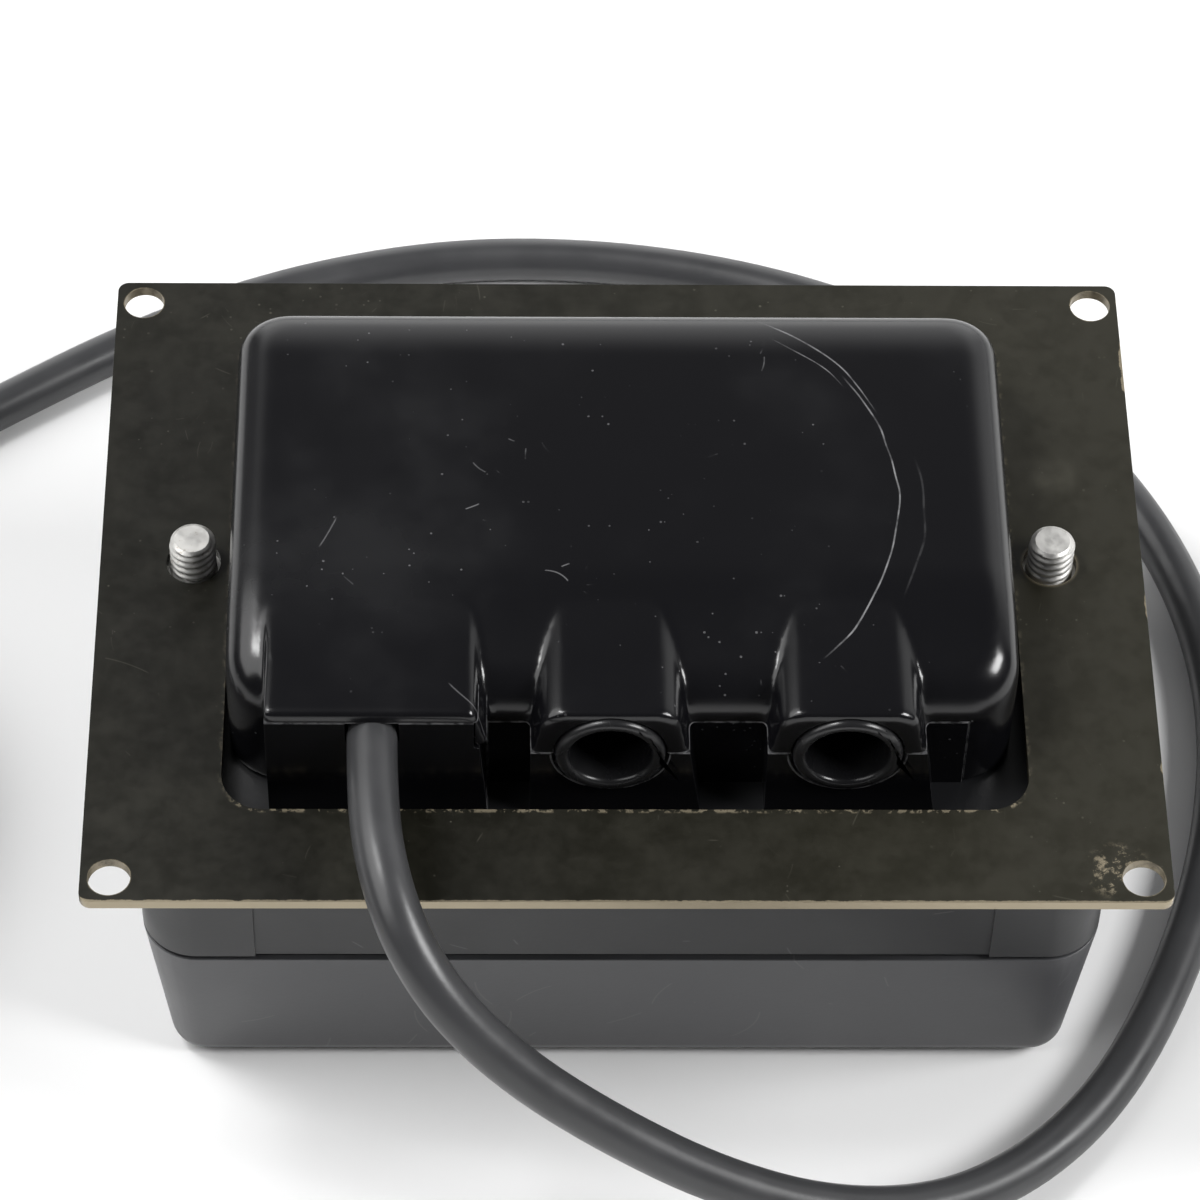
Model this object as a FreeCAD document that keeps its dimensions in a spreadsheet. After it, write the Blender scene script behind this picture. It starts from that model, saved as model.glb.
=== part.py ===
import FreeCAD, Part
import Sketcher
import math
import os

# Flush control unit of a garage door opener, lying on its front face.
# Origin: on the surface under the front face, below the middle of the mounting plate.
# +Z points out of the wiring side, +X to the right and +Y away from the cable entries.
# Millimetres.

sizes = {
    # mounting plate
    "plate_width": 140.0,
    "plate_depth": 105.0,
    "plate_thick": 1.5,
    "plate_corner": 1.5,
    "plate_hole_radius": 2.75,
    "plate_hole_inset": 3.75,
    "cutout_width": 105.0,
    "cutout_depth": 81.2,
    "cutout_corner": 5.5,
    # middle of the box, measured back from the middle of the plate
    "box_offset": 2.6,
    # front housing: tray, seal and middle frame
    "housing_width": 128.0,
    "housing_depth": 92.2,
    "housing_corner": 7.5,
    "housing_wall": 2.2,
    "tray_height": 28.2,
    "tray_lean": 6.0,
    "tray_edge": 4.0,
    "seal_thick": 0.8,
    "seal_recess": 1.0,
    "frame_height": 23.5,
    "gasket_thick": 1.0,
    "gasket_inset": 0.6,
    "deck_drop": 5.0,
    "deck_thick": 2.2,
    "deck_opening_width": 80.0,
    "deck_opening_depth": 46.0,
    "panel_width": 97.4,
    "panel_recess": 0.4,
    # rear cover
    "cover_width": 101.2,
    "cover_depth": 65.2,
    "cover_corner": 8.0,
    "cover_edge": 7.4,
    "cover_wall": 1.8,
    "cover_rise": 17.0,
    # cable entries
    "parting_rise": 8.2,
    "parting_gap": 0.1,
    "cable_rise": 11.5,
    "entry_reach": 5.0,
    "entry_pitch": 30.5,
    "entry_middle": -2.2,
    "saddle_width": 20.5,
    "saddle_drop": 0.4,
    "saddle_round": 6.4,
    "cable_block_width": 26.8,
    "cable_block_shift": -0.3,
    "block_flare": 1.7,
    "notch_width": 90.9,
    "notch_middle": -1.15,
    "tongue_width": 1.8,
    "tongue_drop": 6.8,
    "grommet_radius": 7.3,
    "grommet_bore": 5.35,
    "grommet_neck": 6.2,
    "grommet_lip": 0.35,
    "grommet_proud": 0.8,
    "grommet_seat": 1.6,
    "grommet_gap": 0.15,
    # screws that hold the housing to the plate
    "screw_radius": 3.1,
    "screw_spacing": 115.0,
    "screw_proud": 5.0,
    "screw_tip": 0.7,
    "screw_head_radius": 4.0,
    "screw_head_height": 3.4,
    "screw_socket": 2.0,
    "screw_gap": 0.55,
    "washer_radius": 4.0,
    "washer_thick": 0.9,
    "running_gap": 0.08,
    "clinch_radius": 4.0,
    "clinch_height": 2.2,
    # small fixing screws
    "tray_screw_radius": 1.5,
    "tray_screw_x": 52.0,
    "tray_screw_y": 34.5,
    "boss_radius": 4.2,
    "small_head_radius": 2.6,
    "small_head_height": 1.8,
    "cover_screw_x": 44.7,
    "cover_screw_y": 24.0,
    "cover_boss_radius": 2.9,
    # clamp that grips the cord
    "clamp_width": 16.8,
    "clamp_depth": 6.0,
    "clamp_foot": 2.6,
    "clamp_screw_x": 6.6,
    # circuit board and what it carries
    "board_width": 104.0,
    "board_depth": 58.0,
    "board_thick": 1.6,
    "board_level": 31.0,
    "post_radius": 2.8,
    "post_x": 48.4,
    "post_y": 14.0,
    # front push button
    "button_radius": 9.5,
    "button_gap": 0.1,
    "button_recess": 0.5,
    "flange_gap": 0.3,
    "button_travel": 2.0,
    "flange_reach": 2.0,
    "flange_thick": 1.2,
    "stem_radius": 3.0,
    "guide_level": 16.0,
    "guide_thick": 2.2,
    "guide_width": 34.0,
    "guide_depth": 12.0,
    "guide_leg": 3.0,
    "spring_radius": 5.2,
    "spring_wire": 0.4,
    "spring_turns": 6.0,
    "switch_width": 12.8,
    "switch_depth": 5.8,
    "switch_height": 5.5,
    "plunger_radius": 1.1,
    "plunger_proud": 2.2,
    "contact_gap": 0.05,
    # supply cord
    "cord_radius": 3.25,
    "coil_radius": 38.3,
    "coil_middle_x": -140.0,
    "coil_middle_y": -6.7,
    "plug_width": 25.0,
    "plug_length": 36.0,
    "plug_height": 20.0,
    "plug_round": 5.0,
    "boot_length": 20.0,
    "boot_radius": 5.6,
}

# Values that follow from the sizes above, each an expression of them.
derived = {
    "seal_level": "tray_height",
    "frame_level": "tray_height + seal_thick",
    "gasket_level": "frame_level + frame_height",
    "plate_level": "gasket_level + gasket_thick",
    "plate_top": "plate_level + plate_thick",
    "deck_level": "plate_top - deck_drop",
    "deck_underside": "deck_level - deck_thick",
    "cover_top": "plate_top + cover_rise",
    "parting_level": "plate_top + parting_rise",
    "cable_level": "plate_top + cable_rise",
    "wall_front": "box_offset - cover_depth / 2",
    "wall_back": "wall_front + cover_wall",
    "entry_front": "wall_front - entry_reach",
    "cable_x": "entry_middle - entry_pitch",
    "right_x": "entry_middle + entry_pitch",
    "screw_x": "screw_spacing / 2",
    "board_top": "board_level + board_thick",
    "cable_block_x": "cable_x + cable_block_shift",
    "cable_block_top": "cable_level + cord_radius",
    "saddle_top": "cover_top - saddle_drop",
    "flare_at_parting": "block_flare * ( cable_block_top - parting_level ) / "
    "( cable_block_top - deck_level )",
    "coil_width": "6 * cord_radius",
    "button_top": "housing_wall + flange_gap",
    "stem_top": "board_level - switch_height - plunger_proud - contact_gap",
}

# The cord's route over the plate's front edge, down to the surface, round the right
# side and behind the unit, out to the coil on the left.
cord_route = [
    (-32.7, -35.0, 66.5),
    (-32.7, -46.5, 66.5),
    (-30.2, -57.7, 64.4),
    (-25.6, -67.5, 60.4),
    (-19.2, -75.0, 54.6),
    (-11.0, -79.8, 47.4),
    (0.0, -82.5, 38.5),
    (13.0, -83.5, 28.0),
    (28.0, -82.0, 18.0),
    (43.5, -76.5, 9.5),
    (58.0, -66.0, 4.2),
    (70.0, -50.5, 3.3),
    (79.5, -30.0, 3.3),
    (85.5, -7.5, 3.3),
    (88.0, 16.0, 3.3),
    (85.0, 38.5, 3.3),
    (76.5, 59.0, 3.3),
    (62.5, 76.5, 3.3),
    (44.0, 90.0, 3.3),
    (22.5, 99.0, 3.3),
    (-1.0, 103.5, 3.3),
    (-24.5, 103.5, 3.3),
    (-48.0, 98.0, 3.3),
    (-70.0, 88.0, 3.3),
    (-91.0, 74.0, 3.3),
    (-112.5, 58.5, 3.3),
    (-134.0, 45.4, 3.3),
    (-152.4, 36.5, 3.3),
]

upright = FreeCAD.Rotation()
along_x = FreeCAD.Rotation(FreeCAD.Vector(0, 1, 0), 90)
along_y = FreeCAD.Rotation(FreeCAD.Vector(1, 0, 0), -90)
downward = FreeCAD.Rotation(FreeCAD.Vector(1, 0, 0), 180)

doc = FreeCAD.newDocument("control_unit")
sheet = doc.addObject("Spreadsheet::Sheet", "Sizes")
nodes = []


def fill_sheet():
    for row, (alias, value) in enumerate(sizes.items(), start=1):
        sheet.set(f"A{row}", alias)
        sheet.set(f"B{row}", str(value))
        sheet.setAlias(f"B{row}", alias)
    doc.recompute()


def linked(text):
    """An expression with each word turned into a cell of the sheet."""
    words = []
    for word in str(text).replace("(", " ( ").replace(")", " ) ").split():
        if word in sizes:
            word = "Sizes." + word
        elif word in derived:
            word = "(" + linked(derived[word]) + ")"
        words.append(word)
    return " ".join(words)


def number(text):
    return float(sheet.evalExpression(linked(text)))


def bind(item, path, text):
    item.setExpression(path, linked(text))


def put(item, x, y, z, turn=upright):
    item.Placement = FreeCAD.Placement(FreeCAD.Vector(0, 0, 0), turn)
    bind(item, "Placement.Base.x", x)
    bind(item, "Placement.Base.y", y)
    bind(item, "Placement.Base.z", z)
    return item


def keep(item):
    """Marks a finished sub-part, which is written under its label."""
    nodes.append(item)
    return item


def box(name, length, depth, height, x, y, z):
    """A block centred on x and y that stands on z."""
    item = doc.addObject("Part::Box", name)
    bind(item, "Length", length)
    bind(item, "Width", depth)
    bind(item, "Height", height)
    return put(item, f"{x} - ( {length} ) / 2", f"{y} - ( {depth} ) / 2", z)


def rod(name, radius, length, x, y, z, turn=upright):
    item = doc.addObject("Part::Cylinder", name)
    bind(item, "Radius", radius)
    bind(item, "Height", length)
    return put(item, x, y, z, turn)


def cone(name, radius_start, radius_end, length, x, y, z, turn=upright):
    item = doc.addObject("Part::Cone", name)
    bind(item, "Radius1", radius_start)
    bind(item, "Radius2", radius_end)
    bind(item, "Height", length)
    return put(item, x, y, z, turn)


def joined(name, pieces):
    item = doc.addObject("Part::MultiFuse", name)
    item.Shapes = pieces
    item.Refine = True
    return item


def carved(name, base, tools):
    """The base with each of the tools cut out of it."""
    tool = tools[0]
    if len(tools) > 1:
        tool = joined(name + "_tools", tools)
    item = doc.addObject("Part::Cut", name)
    item.Base = base
    item.Tool = tool
    item.Refine = True
    return item


def rounded(name, base, radius, wanted):
    """The base with a fillet on each edge whose middle and direction are wanted."""
    doc.recompute()
    edges = []
    for index, edge in enumerate(base.Shape.Edges, start=1):
        if wanted(edge.CenterOfMass, edge.tangentAt(edge.FirstParameter)):
            edges.append((index, radius, radius))
    item = doc.addObject("Part::Fillet", name)
    item.Base = base
    item.Edges = edges
    return item


def origin_plane(body, role):
    return next(plane for plane in body.Origin.OriginFeatures if plane.Role == role)


def level_sketch(body, name, x, y, z):
    """A sketch on a level plane, with its own origin at x, y, z."""
    sketch = body.newObject("Sketcher::SketchObject", name)
    sketch.AttachmentSupport = [(origin_plane(body, "XY_Plane"), "")]
    sketch.MapMode = "FlatFace"
    bind(sketch, "AttachmentOffset.Base.x", x)
    bind(sketch, "AttachmentOffset.Base.y", y)
    bind(sketch, "AttachmentOffset.Base.z", z)
    return sketch


def draw_rounded_rectangle(sketch, width, depth, corner):
    """A rectangle about the sketch's origin with four equal round corners."""
    half_width = number(width) / 2
    half_depth = number(depth) / 2
    radius = number(corner)
    side_x = half_width - radius
    side_y = half_depth - radius
    flat = FreeCAD.Vector
    normal = flat(0, 0, 1)
    first = sketch.GeometryCount
    lines = [
        (flat(-side_x, -half_depth, 0), flat(side_x, -half_depth, 0)),
        (flat(half_width, -side_y, 0), flat(half_width, side_y, 0)),
        (flat(side_x, half_depth, 0), flat(-side_x, half_depth, 0)),
        (flat(-half_width, side_y, 0), flat(-half_width, -side_y, 0)),
    ]
    corners = [(side_x, -side_y), (side_x, side_y), (-side_x, side_y), (-side_x, -side_y)]
    for start, end in lines:
        sketch.addGeometry(Part.LineSegment(start, end), False)
    for index, (x, y) in enumerate(corners):
        circle = Part.Circle(flat(x, y, 0), normal, radius)
        start = math.radians(90 * index - 90)
        sketch.addGeometry(Part.ArcOfCircle(circle, start, start + math.pi / 2), False)
    for index in range(4):
        line = first + index
        arc = first + 4 + index
        next_line = first + (index + 1) % 4
        sketch.addConstraint(Sketcher.Constraint("Tangent", line, 2, arc, 1))
        sketch.addConstraint(Sketcher.Constraint("Tangent", arc, 2, next_line, 1))
    for index in (0, 2):
        sketch.addConstraint(Sketcher.Constraint("Horizontal", first + index))
        sketch.addConstraint(Sketcher.Constraint("Vertical", first + index + 1))
    for index in (5, 6, 7):
        sketch.addConstraint(Sketcher.Constraint("Equal", first + 4, first + index))
    sketch.addConstraint(Sketcher.Constraint("Symmetric", first + 5, 3, first + 7, 3, -1, 1))
    measured(sketch, corner, "Radius", first + 4)
    measured(sketch, width, "DistanceX", first + 3, 1, first + 1, 1)
    measured(sketch, depth, "DistanceY", first, 1, first + 2, 1)


def measured(sketch, text, kind, *where):
    """A dimension of the sketch that follows the sheet."""
    index = sketch.addConstraint(Sketcher.Constraint(kind, *where, number(text)))
    sketch.setExpression(f"Constraints[{index}]", linked(text))


def draw_circle(sketch, radius, x, y):
    """A circle about the point x, y of the sketch."""
    place = FreeCAD.Vector(number(x), number(y), 0)
    circle = sketch.addGeometry(Part.Circle(place, FreeCAD.Vector(0, 0, 1), number(radius)), False)
    measured(sketch, radius, "Radius", circle)
    measured(sketch, x, "DistanceX", -1, 1, circle, 3)
    measured(sketch, y, "DistanceY", -1, 1, circle, 3)


def pad(body, name, sketch, height, downwards=False):
    item = body.newObject("PartDesign::Pad", name)
    item.Profile = sketch
    item.Reversed = downwards
    bind(item, "Length", height)
    return item


def pocket(body, name, sketch):
    item = body.newObject("PartDesign::Pocket", name)
    item.Profile = sketch
    item.Type = "ThroughAll"
    item.Midplane = True
    return item


def domed_block(name, width, depth, corner, level, height, edge, lean=None):
    """A rounded block on level; with a lean it hangs below level and narrows downwards."""
    body = doc.addObject("PartDesign::Body", name)
    sketch = level_sketch(body, name + "_outline", "0", "box_offset", level)
    draw_rounded_rectangle(sketch, width, depth, corner)
    block = pad(body, name + "_block", sketch, height, downwards=lean is not None)
    if lean:
        bind(block, "TaperAngle", f"0 - {lean}")
    doc.recompute()
    far = block.Shape.BoundBox.ZMin if lean else block.Shape.BoundBox.ZMax
    rims = []
    for index, item in enumerate(block.Shape.Edges, start=1):
        if abs(item.BoundBox.ZMin - far) < 0.01 and abs(item.BoundBox.ZMax - far) < 0.01:
            rims.append(f"Edge{index}")
    fillet = body.newObject("PartDesign::Fillet", name + "_edge")
    fillet.Base = (block, rims)
    bind(fillet, "Radius", edge)
    body.Tip = fillet
    return body


def shell(name, width, depth, corner, level, height, edge, wall, lean=None):
    """A domed block with an even wall, open at level."""
    outside = domed_block(name + "_outside", width, depth, corner, level, height, edge, lean)
    inside = domed_block(
        name + "_inside",
        f"{width} - 2 * {wall}",
        f"{depth} - 2 * {wall}",
        f"{corner} - {wall}",
        level,
        f"{height} - {wall}",
        f"{edge} - {wall}",
        lean,
    )
    return carved(name, outside, [inside])


def ring(name, inset, band, level, height):
    """A flat seal that follows the housing's outline, inset from it."""
    body = doc.addObject("PartDesign::Body", name)
    outer = level_sketch(body, name + "_outer", "0", "box_offset", level)
    draw_rounded_rectangle(
        outer,
        f"housing_width - 2 * {inset}",
        f"housing_depth - 2 * {inset}",
        f"housing_corner - {inset}",
    )
    pad(body, name + "_pad", outer, height)
    inner = level_sketch(body, name + "_inner", "0", "box_offset", level)
    draw_rounded_rectangle(
        inner,
        f"housing_width - 2 * {band}",
        f"housing_depth - 2 * {band}",
        f"housing_corner - {band}",
    )
    body.Tip = pocket(body, name + "_opening", inner)
    return body


def mounting_plate():
    body = doc.addObject("PartDesign::Body", "mounting_plate")
    outline = level_sketch(body, "plate_outline", "0", "0", "plate_level")
    draw_rounded_rectangle(outline, "plate_width", "plate_depth", "plate_corner")
    pad(body, "plate_sheet", outline, "plate_thick")
    cutout = level_sketch(body, "plate_cutout", "0", "box_offset", "plate_level")
    draw_rounded_rectangle(cutout, "cutout_width", "cutout_depth", "cutout_corner")
    pocket(body, "plate_window", cutout)
    holes = level_sketch(body, "plate_holes", "0", "0", "plate_level")
    for side in ("-1", "1"):
        for end in ("-1", "1"):
            x = f"{side} * ( plate_width / 2 - plate_hole_inset )"
            y = f"{end} * ( plate_depth / 2 - plate_hole_inset )"
            draw_circle(holes, "plate_hole_radius", x, y)
        draw_circle(holes, "screw_radius + screw_gap", f"{side} * screw_x", "box_offset")
    body.Tip = pocket(body, "plate_drilling", holes)
    return keep(body)


def corner_places(spread_x, spread_y):
    """The four places about the middle of the box, named for their side and end."""
    places = []
    for side, sign_x in (("left", "-1"), ("right", "1")):
        for end, sign_y in (("near", "-1"), ("far", "1")):
            x = f"{sign_x} * {spread_x}"
            y = f"box_offset + {sign_y} * {spread_y}"
            places.append((f"{side}_{end}", x, y))
    return places


def front_tray():
    tray = shell(
        "tray_shell",
        "housing_width",
        "housing_depth",
        "housing_corner",
        "tray_height",
        "tray_height",
        "tray_edge",
        "housing_wall",
        lean="tray_lean",
    )
    bosses = []
    drilling = []
    for place, x, y in corner_places("tray_screw_x", "tray_screw_y"):
        height = "tray_height - housing_wall / 2"
        bosses.append(rod("tray_boss_" + place, "boss_radius", height, x, y, "housing_wall / 2"))
        shank = "tray_screw_radius + running_gap"
        drilling.append(rod("tray_bore_" + place, shank, "tray_height", x, y, "0"))
        sunk = rod(
            "tray_sink_" + place,
            "small_head_radius + 0.3",
            "2 * small_head_height",
            x,
            y,
            "0",
        )
        drilling.append(sunk)
    guide_posts = []
    for side in ("-1", "1"):
        x = f"{side} * ( guide_width / 2 - guide_leg / 2 )"
        post = box(
            "guide_post_" + ("left" if side == "-1" else "right"),
            "guide_leg",
            "guide_depth",
            "guide_level - housing_wall / 2",
            x,
            "box_offset",
            "housing_wall / 2",
        )
        guide_posts.append(post)
    body = joined("tray_body", [tray] + bosses + guide_posts)
    opening = rod("button_hole", "button_radius + button_gap", "6", "0", "box_offset", "0 - 1")
    lens = rod("lens_hole", "2.2", "6", "28", "box_offset", "0 - 1")
    keep(carved("front_tray", body, drilling + [opening, lens]))


def tray_screws():
    """Four pan-head screws that hold the tray to the middle frame."""
    screws = []
    for place, x, y in corner_places("tray_screw_x", "tray_screw_y"):
        head_level = "2 * small_head_height - small_head_height"
        head = rod("tray_head_" + place, "small_head_radius", "small_head_height", x, y, head_level)
        shank = rod(
            "tray_shank_" + place,
            "tray_screw_radius",
            "frame_level + 9 - 2 * small_head_height",
            x,
            y,
            "2 * small_head_height",
        )
        screws.append(joined("tray_screw_" + place, [head, shank]))
    keep(joined("tray_screws", screws))


def middle_frame():
    """The band under the plate, with the deck that carries the rear cover and the board."""
    outside = doc.addObject("PartDesign::Body", "frame_block")
    outline = level_sketch(outside, "frame_outline", "0", "box_offset", "frame_level")
    draw_rounded_rectangle(outline, "housing_width", "housing_depth", "housing_corner")
    outside.Tip = pad(outside, "frame_pad", outline, "frame_height")
    below = doc.addObject("PartDesign::Body", "frame_room")
    inner = level_sketch(below, "frame_inner", "0", "box_offset", "frame_level")
    draw_rounded_rectangle(
        inner,
        "housing_width - 2 * housing_wall",
        "housing_depth - 2 * housing_wall",
        "housing_corner - housing_wall",
    )
    below.Tip = pad(below, "frame_room_pad", inner, "deck_underside - frame_level")
    above = doc.addObject("PartDesign::Body", "frame_recess")
    upper = level_sketch(above, "frame_recess_outline", "0", "box_offset", "deck_level")
    draw_rounded_rectangle(
        upper,
        "housing_width - 2 * housing_wall",
        "housing_depth - 2 * housing_wall",
        "housing_corner - housing_wall",
    )
    above.Tip = pad(above, "frame_recess_pad", upper, "deck_drop")
    opening = box(
        "deck_opening",
        "deck_opening_width",
        "deck_opening_depth",
        "3 * deck_thick",
        "0",
        "box_offset + 1.4",
        "deck_underside - deck_thick",
    )
    panels = []
    for name, sign in (("near", "-1"), ("far", "1")):
        panel = box(
            "frame_panel_" + name,
            "panel_width",
            "2 * panel_recess",
            "frame_height",
            "0",
            f"box_offset + {sign} * housing_depth / 2",
            "frame_level",
        )
        panels.append(panel)
    hollow = carved("frame_hollow", outside, [below, above, opening] + panels)
    pieces = [hollow]
    for place, x, y in corner_places("tray_screw_x", "tray_screw_y"):
        height = "deck_underside - frame_level"
        pieces.append(rod("frame_post_" + place, "boss_radius", height, x, y, "frame_level"))
    for place, x, y in corner_places("post_x", "post_y"):
        height = "deck_underside - board_top"
        pieces.append(rod("board_post_" + place, "post_radius", height, x, y, "board_top"))
    body = joined("frame_body", pieces)
    tools = []
    for place, x, y in corner_places("tray_screw_x", "tray_screw_y"):
        bore = "tray_screw_radius + running_gap"
        tools.append(rod("frame_bore_" + place, bore, "10", x, y, "frame_level"))
    for place, x, y in corner_places("post_x", "post_y"):
        bore = "tray_screw_radius + running_gap"
        tools.append(rod("post_bore_" + place, bore, "8", x, y, "board_top"))
    for place, x, y in corner_places("cover_screw_x", "cover_screw_y"):
        bore = "tray_screw_radius + running_gap"
        tools.append(rod("deck_bore_" + place, bore, "6", x, y, "deck_underside - 2"))
    for side in ("-1", "1"):
        name = "left" if side == "-1" else "right"
        x = f"{side} * screw_x"
        bore = "screw_radius + running_gap"
        tools.append(rod("screw_bore_" + name, bore, "8", x, "box_offset", "deck_underside - 3"))
    keep(carved("middle_frame", body, tools))


def rear_cover():
    """The domed cover with a saddle over each cable entry."""
    cover = shell(
        "cover_shell",
        "cover_width",
        "cover_depth",
        "cover_corner",
        "deck_level",
        "cover_top - deck_level",
        "cover_edge",
        "cover_wall",
    )
    notch = box(
        "cover_notch",
        "notch_width",
        "4 * cover_wall",
        "parting_level - deck_level",
        "notch_middle",
        "wall_front",
        "deck_level",
    )
    notched = carved("notched_cover", cover, [notch])
    reach = "entry_reach + 6"
    saddles = []
    for name, x in (("middle", "entry_middle"), ("right", "right_x")):
        block = box(
            "saddle_block_" + name,
            "saddle_width",
            reach,
            "saddle_top - parting_level",
            x,
            f"entry_front + ( {reach} ) / 2",
            "parting_level",
        )
        top = number("saddle_top")
        saddle = rounded(
            "saddle_" + name,
            block,
            number("saddle_round"),
            lambda middle, way: abs(middle.z - top) < 0.01 and abs(way.y) > 0.9,
        )
        saddles.append(saddle)
    slab = box(
        "cable_slab",
        "cable_block_width",
        reach,
        "saddle_top - cable_block_top",
        "cable_block_x",
        f"entry_front + ( {reach} ) / 2",
        "cable_block_top",
    )
    tongue = box(
        "cover_tongue",
        "tongue_width",
        "entry_reach + cover_wall",
        "tongue_drop",
        "cable_block_x + cable_block_width / 2 + tongue_width / 2",
        "entry_front + ( entry_reach + cover_wall ) / 2",
        "saddle_top - saddle_drop - tongue_drop",
    )
    bosses = []
    for place, x, y in corner_places("cover_screw_x", "cover_screw_y"):
        height = "cover_top - cover_wall / 2 - deck_level - cover_edge / 3"
        bosses.append(rod("cover_boss_" + place, "cover_boss_radius", height, x, y, "deck_level"))
    body = joined("cover_body", [notched] + saddles + [slab, tongue] + bosses)
    tools = []
    for name, x in (("middle", "entry_middle"), ("right", "right_x")):
        tools += grommet_room("cover_" + name, x)
    for place, x, y in corner_places("cover_screw_x", "cover_screw_y"):
        bore = "tray_screw_radius + running_gap"
        tools.append(rod("cover_bore_" + place, bore, "9", x, y, "deck_level"))
    well = box(
        "cable_well",
        "cable_block_width + 2 * parting_gap",
        "entry_reach + 4 * cover_wall",
        "cable_block_top + parting_gap - deck_level",
        "cable_block_x",
        "entry_front + ( entry_reach + 4 * cover_wall ) / 2",
        "deck_level",
    )
    flare = box(
        "flare_room",
        "flare_at_parting + parting_gap",
        "entry_reach + 4 * cover_wall",
        "saddle_top - saddle_drop - tongue_drop - deck_level",
        "cable_block_x + cable_block_width / 2 + ( flare_at_parting + parting_gap ) / 2",
        "entry_front + ( entry_reach + 4 * cover_wall ) / 2",
        "deck_level",
    )
    tools += [well, flare]
    keep(carved("rear_cover", body, tools))


def grommet_room(name, x):
    """The hole and the counterbore that hold one grommet."""
    hole = rod(
        name + "_hole",
        "grommet_neck + grommet_gap",
        "entry_reach + cover_wall + 2",
        x,
        "entry_front - 1",
        "parting_level",
        along_y,
    )
    seat = rod(
        name + "_seat",
        "grommet_radius + 2 * grommet_gap",
        "grommet_seat + 1",
        x,
        "entry_front - 1",
        "parting_level",
        along_y,
    )
    inside = rod(
        name + "_inside",
        "grommet_neck + grommet_lip + grommet_gap",
        "6",
        x,
        "wall_back",
        "parting_level",
        along_y,
    )
    return [hole, seat, inside]


def flared_block(name, width, x, height):
    """A block in front of the entry wall that is wider at its foot on the right."""
    item = doc.addObject("Part::Wedge", name)
    bind(item, "Xmin", "0")
    bind(item, "Ymin", "0")
    bind(item, "Zmin", "0")
    bind(item, "Xmax", f"{width} + block_flare")
    bind(item, "Ymax", height)
    bind(item, "Zmax", "entry_reach + cover_wall / 2")
    bind(item, "X2min", "0")
    bind(item, "X2max", width)
    bind(item, "Z2min", "0")
    bind(item, "Z2max", "entry_reach + cover_wall / 2")
    turn = FreeCAD.Rotation(FreeCAD.Vector(1, 0, 0), 90)
    return put(item, f"{x} - {width} / 2", "wall_front + cover_wall / 2", "deck_level", turn)


def entry_block():
    """The lower front wall with the lower half of each cable entry."""
    low = "parting_level - parting_gap - deck_level"
    wall = box(
        "entry_wall",
        "notch_width - 2 * parting_gap",
        "cover_wall",
        low,
        "notch_middle",
        "wall_front + cover_wall / 2",
        "deck_level",
    )
    pieces = [wall]
    pieces.append(flared_block("entry_block_middle", "saddle_width", "entry_middle", low))
    pieces.append(flared_block("entry_block_right", "saddle_width", "right_x", low))
    tall = "cable_block_top - parting_gap / 2 - deck_level"
    pieces.append(flared_block("entry_block_cable", "cable_block_width", "cable_block_x", tall))
    shelf = box(
        "clamp_shelf",
        "clamp_width",
        "12",
        "cable_level - cord_radius - 3 - deck_level",
        "cable_x",
        "wall_front + 6",
        "deck_level",
    )
    pieces.append(shelf)
    body = joined("entry_body", pieces)
    tools = grommet_room("entry_middle_room", "entry_middle")
    tools += grommet_room("entry_right_room", "right_x")
    passage = rod(
        "cable_passage",
        "cord_radius + 0.2",
        "entry_reach + cover_wall + 2",
        "cable_x",
        "entry_front - 1",
        "cable_level",
        along_y,
    )
    mouth = box(
        "cable_mouth",
        "2 * cord_radius + 0.4",
        "entry_reach + cover_wall + 2",
        "cord_radius + 1",
        "cable_x",
        "entry_front - 1 + ( entry_reach + cover_wall + 2 ) / 2",
        "cable_level",
    )
    tongue_room = box(
        "tongue_room",
        "tongue_width + 2 * parting_gap",
        "entry_reach + 2 * cover_wall",
        "cover_top - ( saddle_top - saddle_drop - tongue_drop ) + parting_gap",
        "cable_block_x + cable_block_width / 2 + tongue_width / 2",
        "entry_front - 1 + ( entry_reach + 2 * cover_wall ) / 2",
        "saddle_top - saddle_drop - tongue_drop - parting_gap",
    )
    tools += [passage, mouth, tongue_room]
    keep(carved("entry_block", body, tools))


def grommet(name, x):
    """A rubber grommet: a rounded outer lip, a neck through the wall and a smaller inner lip."""
    thick = "grommet_seat + grommet_proud"
    lip = rod(name + "_lip", "grommet_radius", thick, x, "entry_front - grommet_proud",
              "parting_level", along_y)
    front = number("entry_front - grommet_proud")
    soft = rounded(
        name + "_soft",
        lip,
        number("grommet_proud"),
        lambda middle, way: abs(middle.y - front) < 0.01,
    )
    neck = rod(
        name + "_neck",
        "grommet_neck",
        "entry_reach + cover_wall - grommet_seat",
        x,
        "entry_front + grommet_seat",
        "parting_level",
        along_y,
    )
    inner = rod(name + "_inner", "grommet_neck + grommet_lip", "1.2", x, "wall_back + 0.05",
                "parting_level", along_y)
    link = rod(name + "_link", "grommet_neck", "1.2", x, "wall_back", "parting_level", along_y)
    bore = rod(name + "_bore", "grommet_bore", "14", x, "entry_front - 2", "parting_level", along_y)
    body = joined(name + "_body", [soft, neck, link, inner])
    keep(carved(name, body, [bore]))


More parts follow.
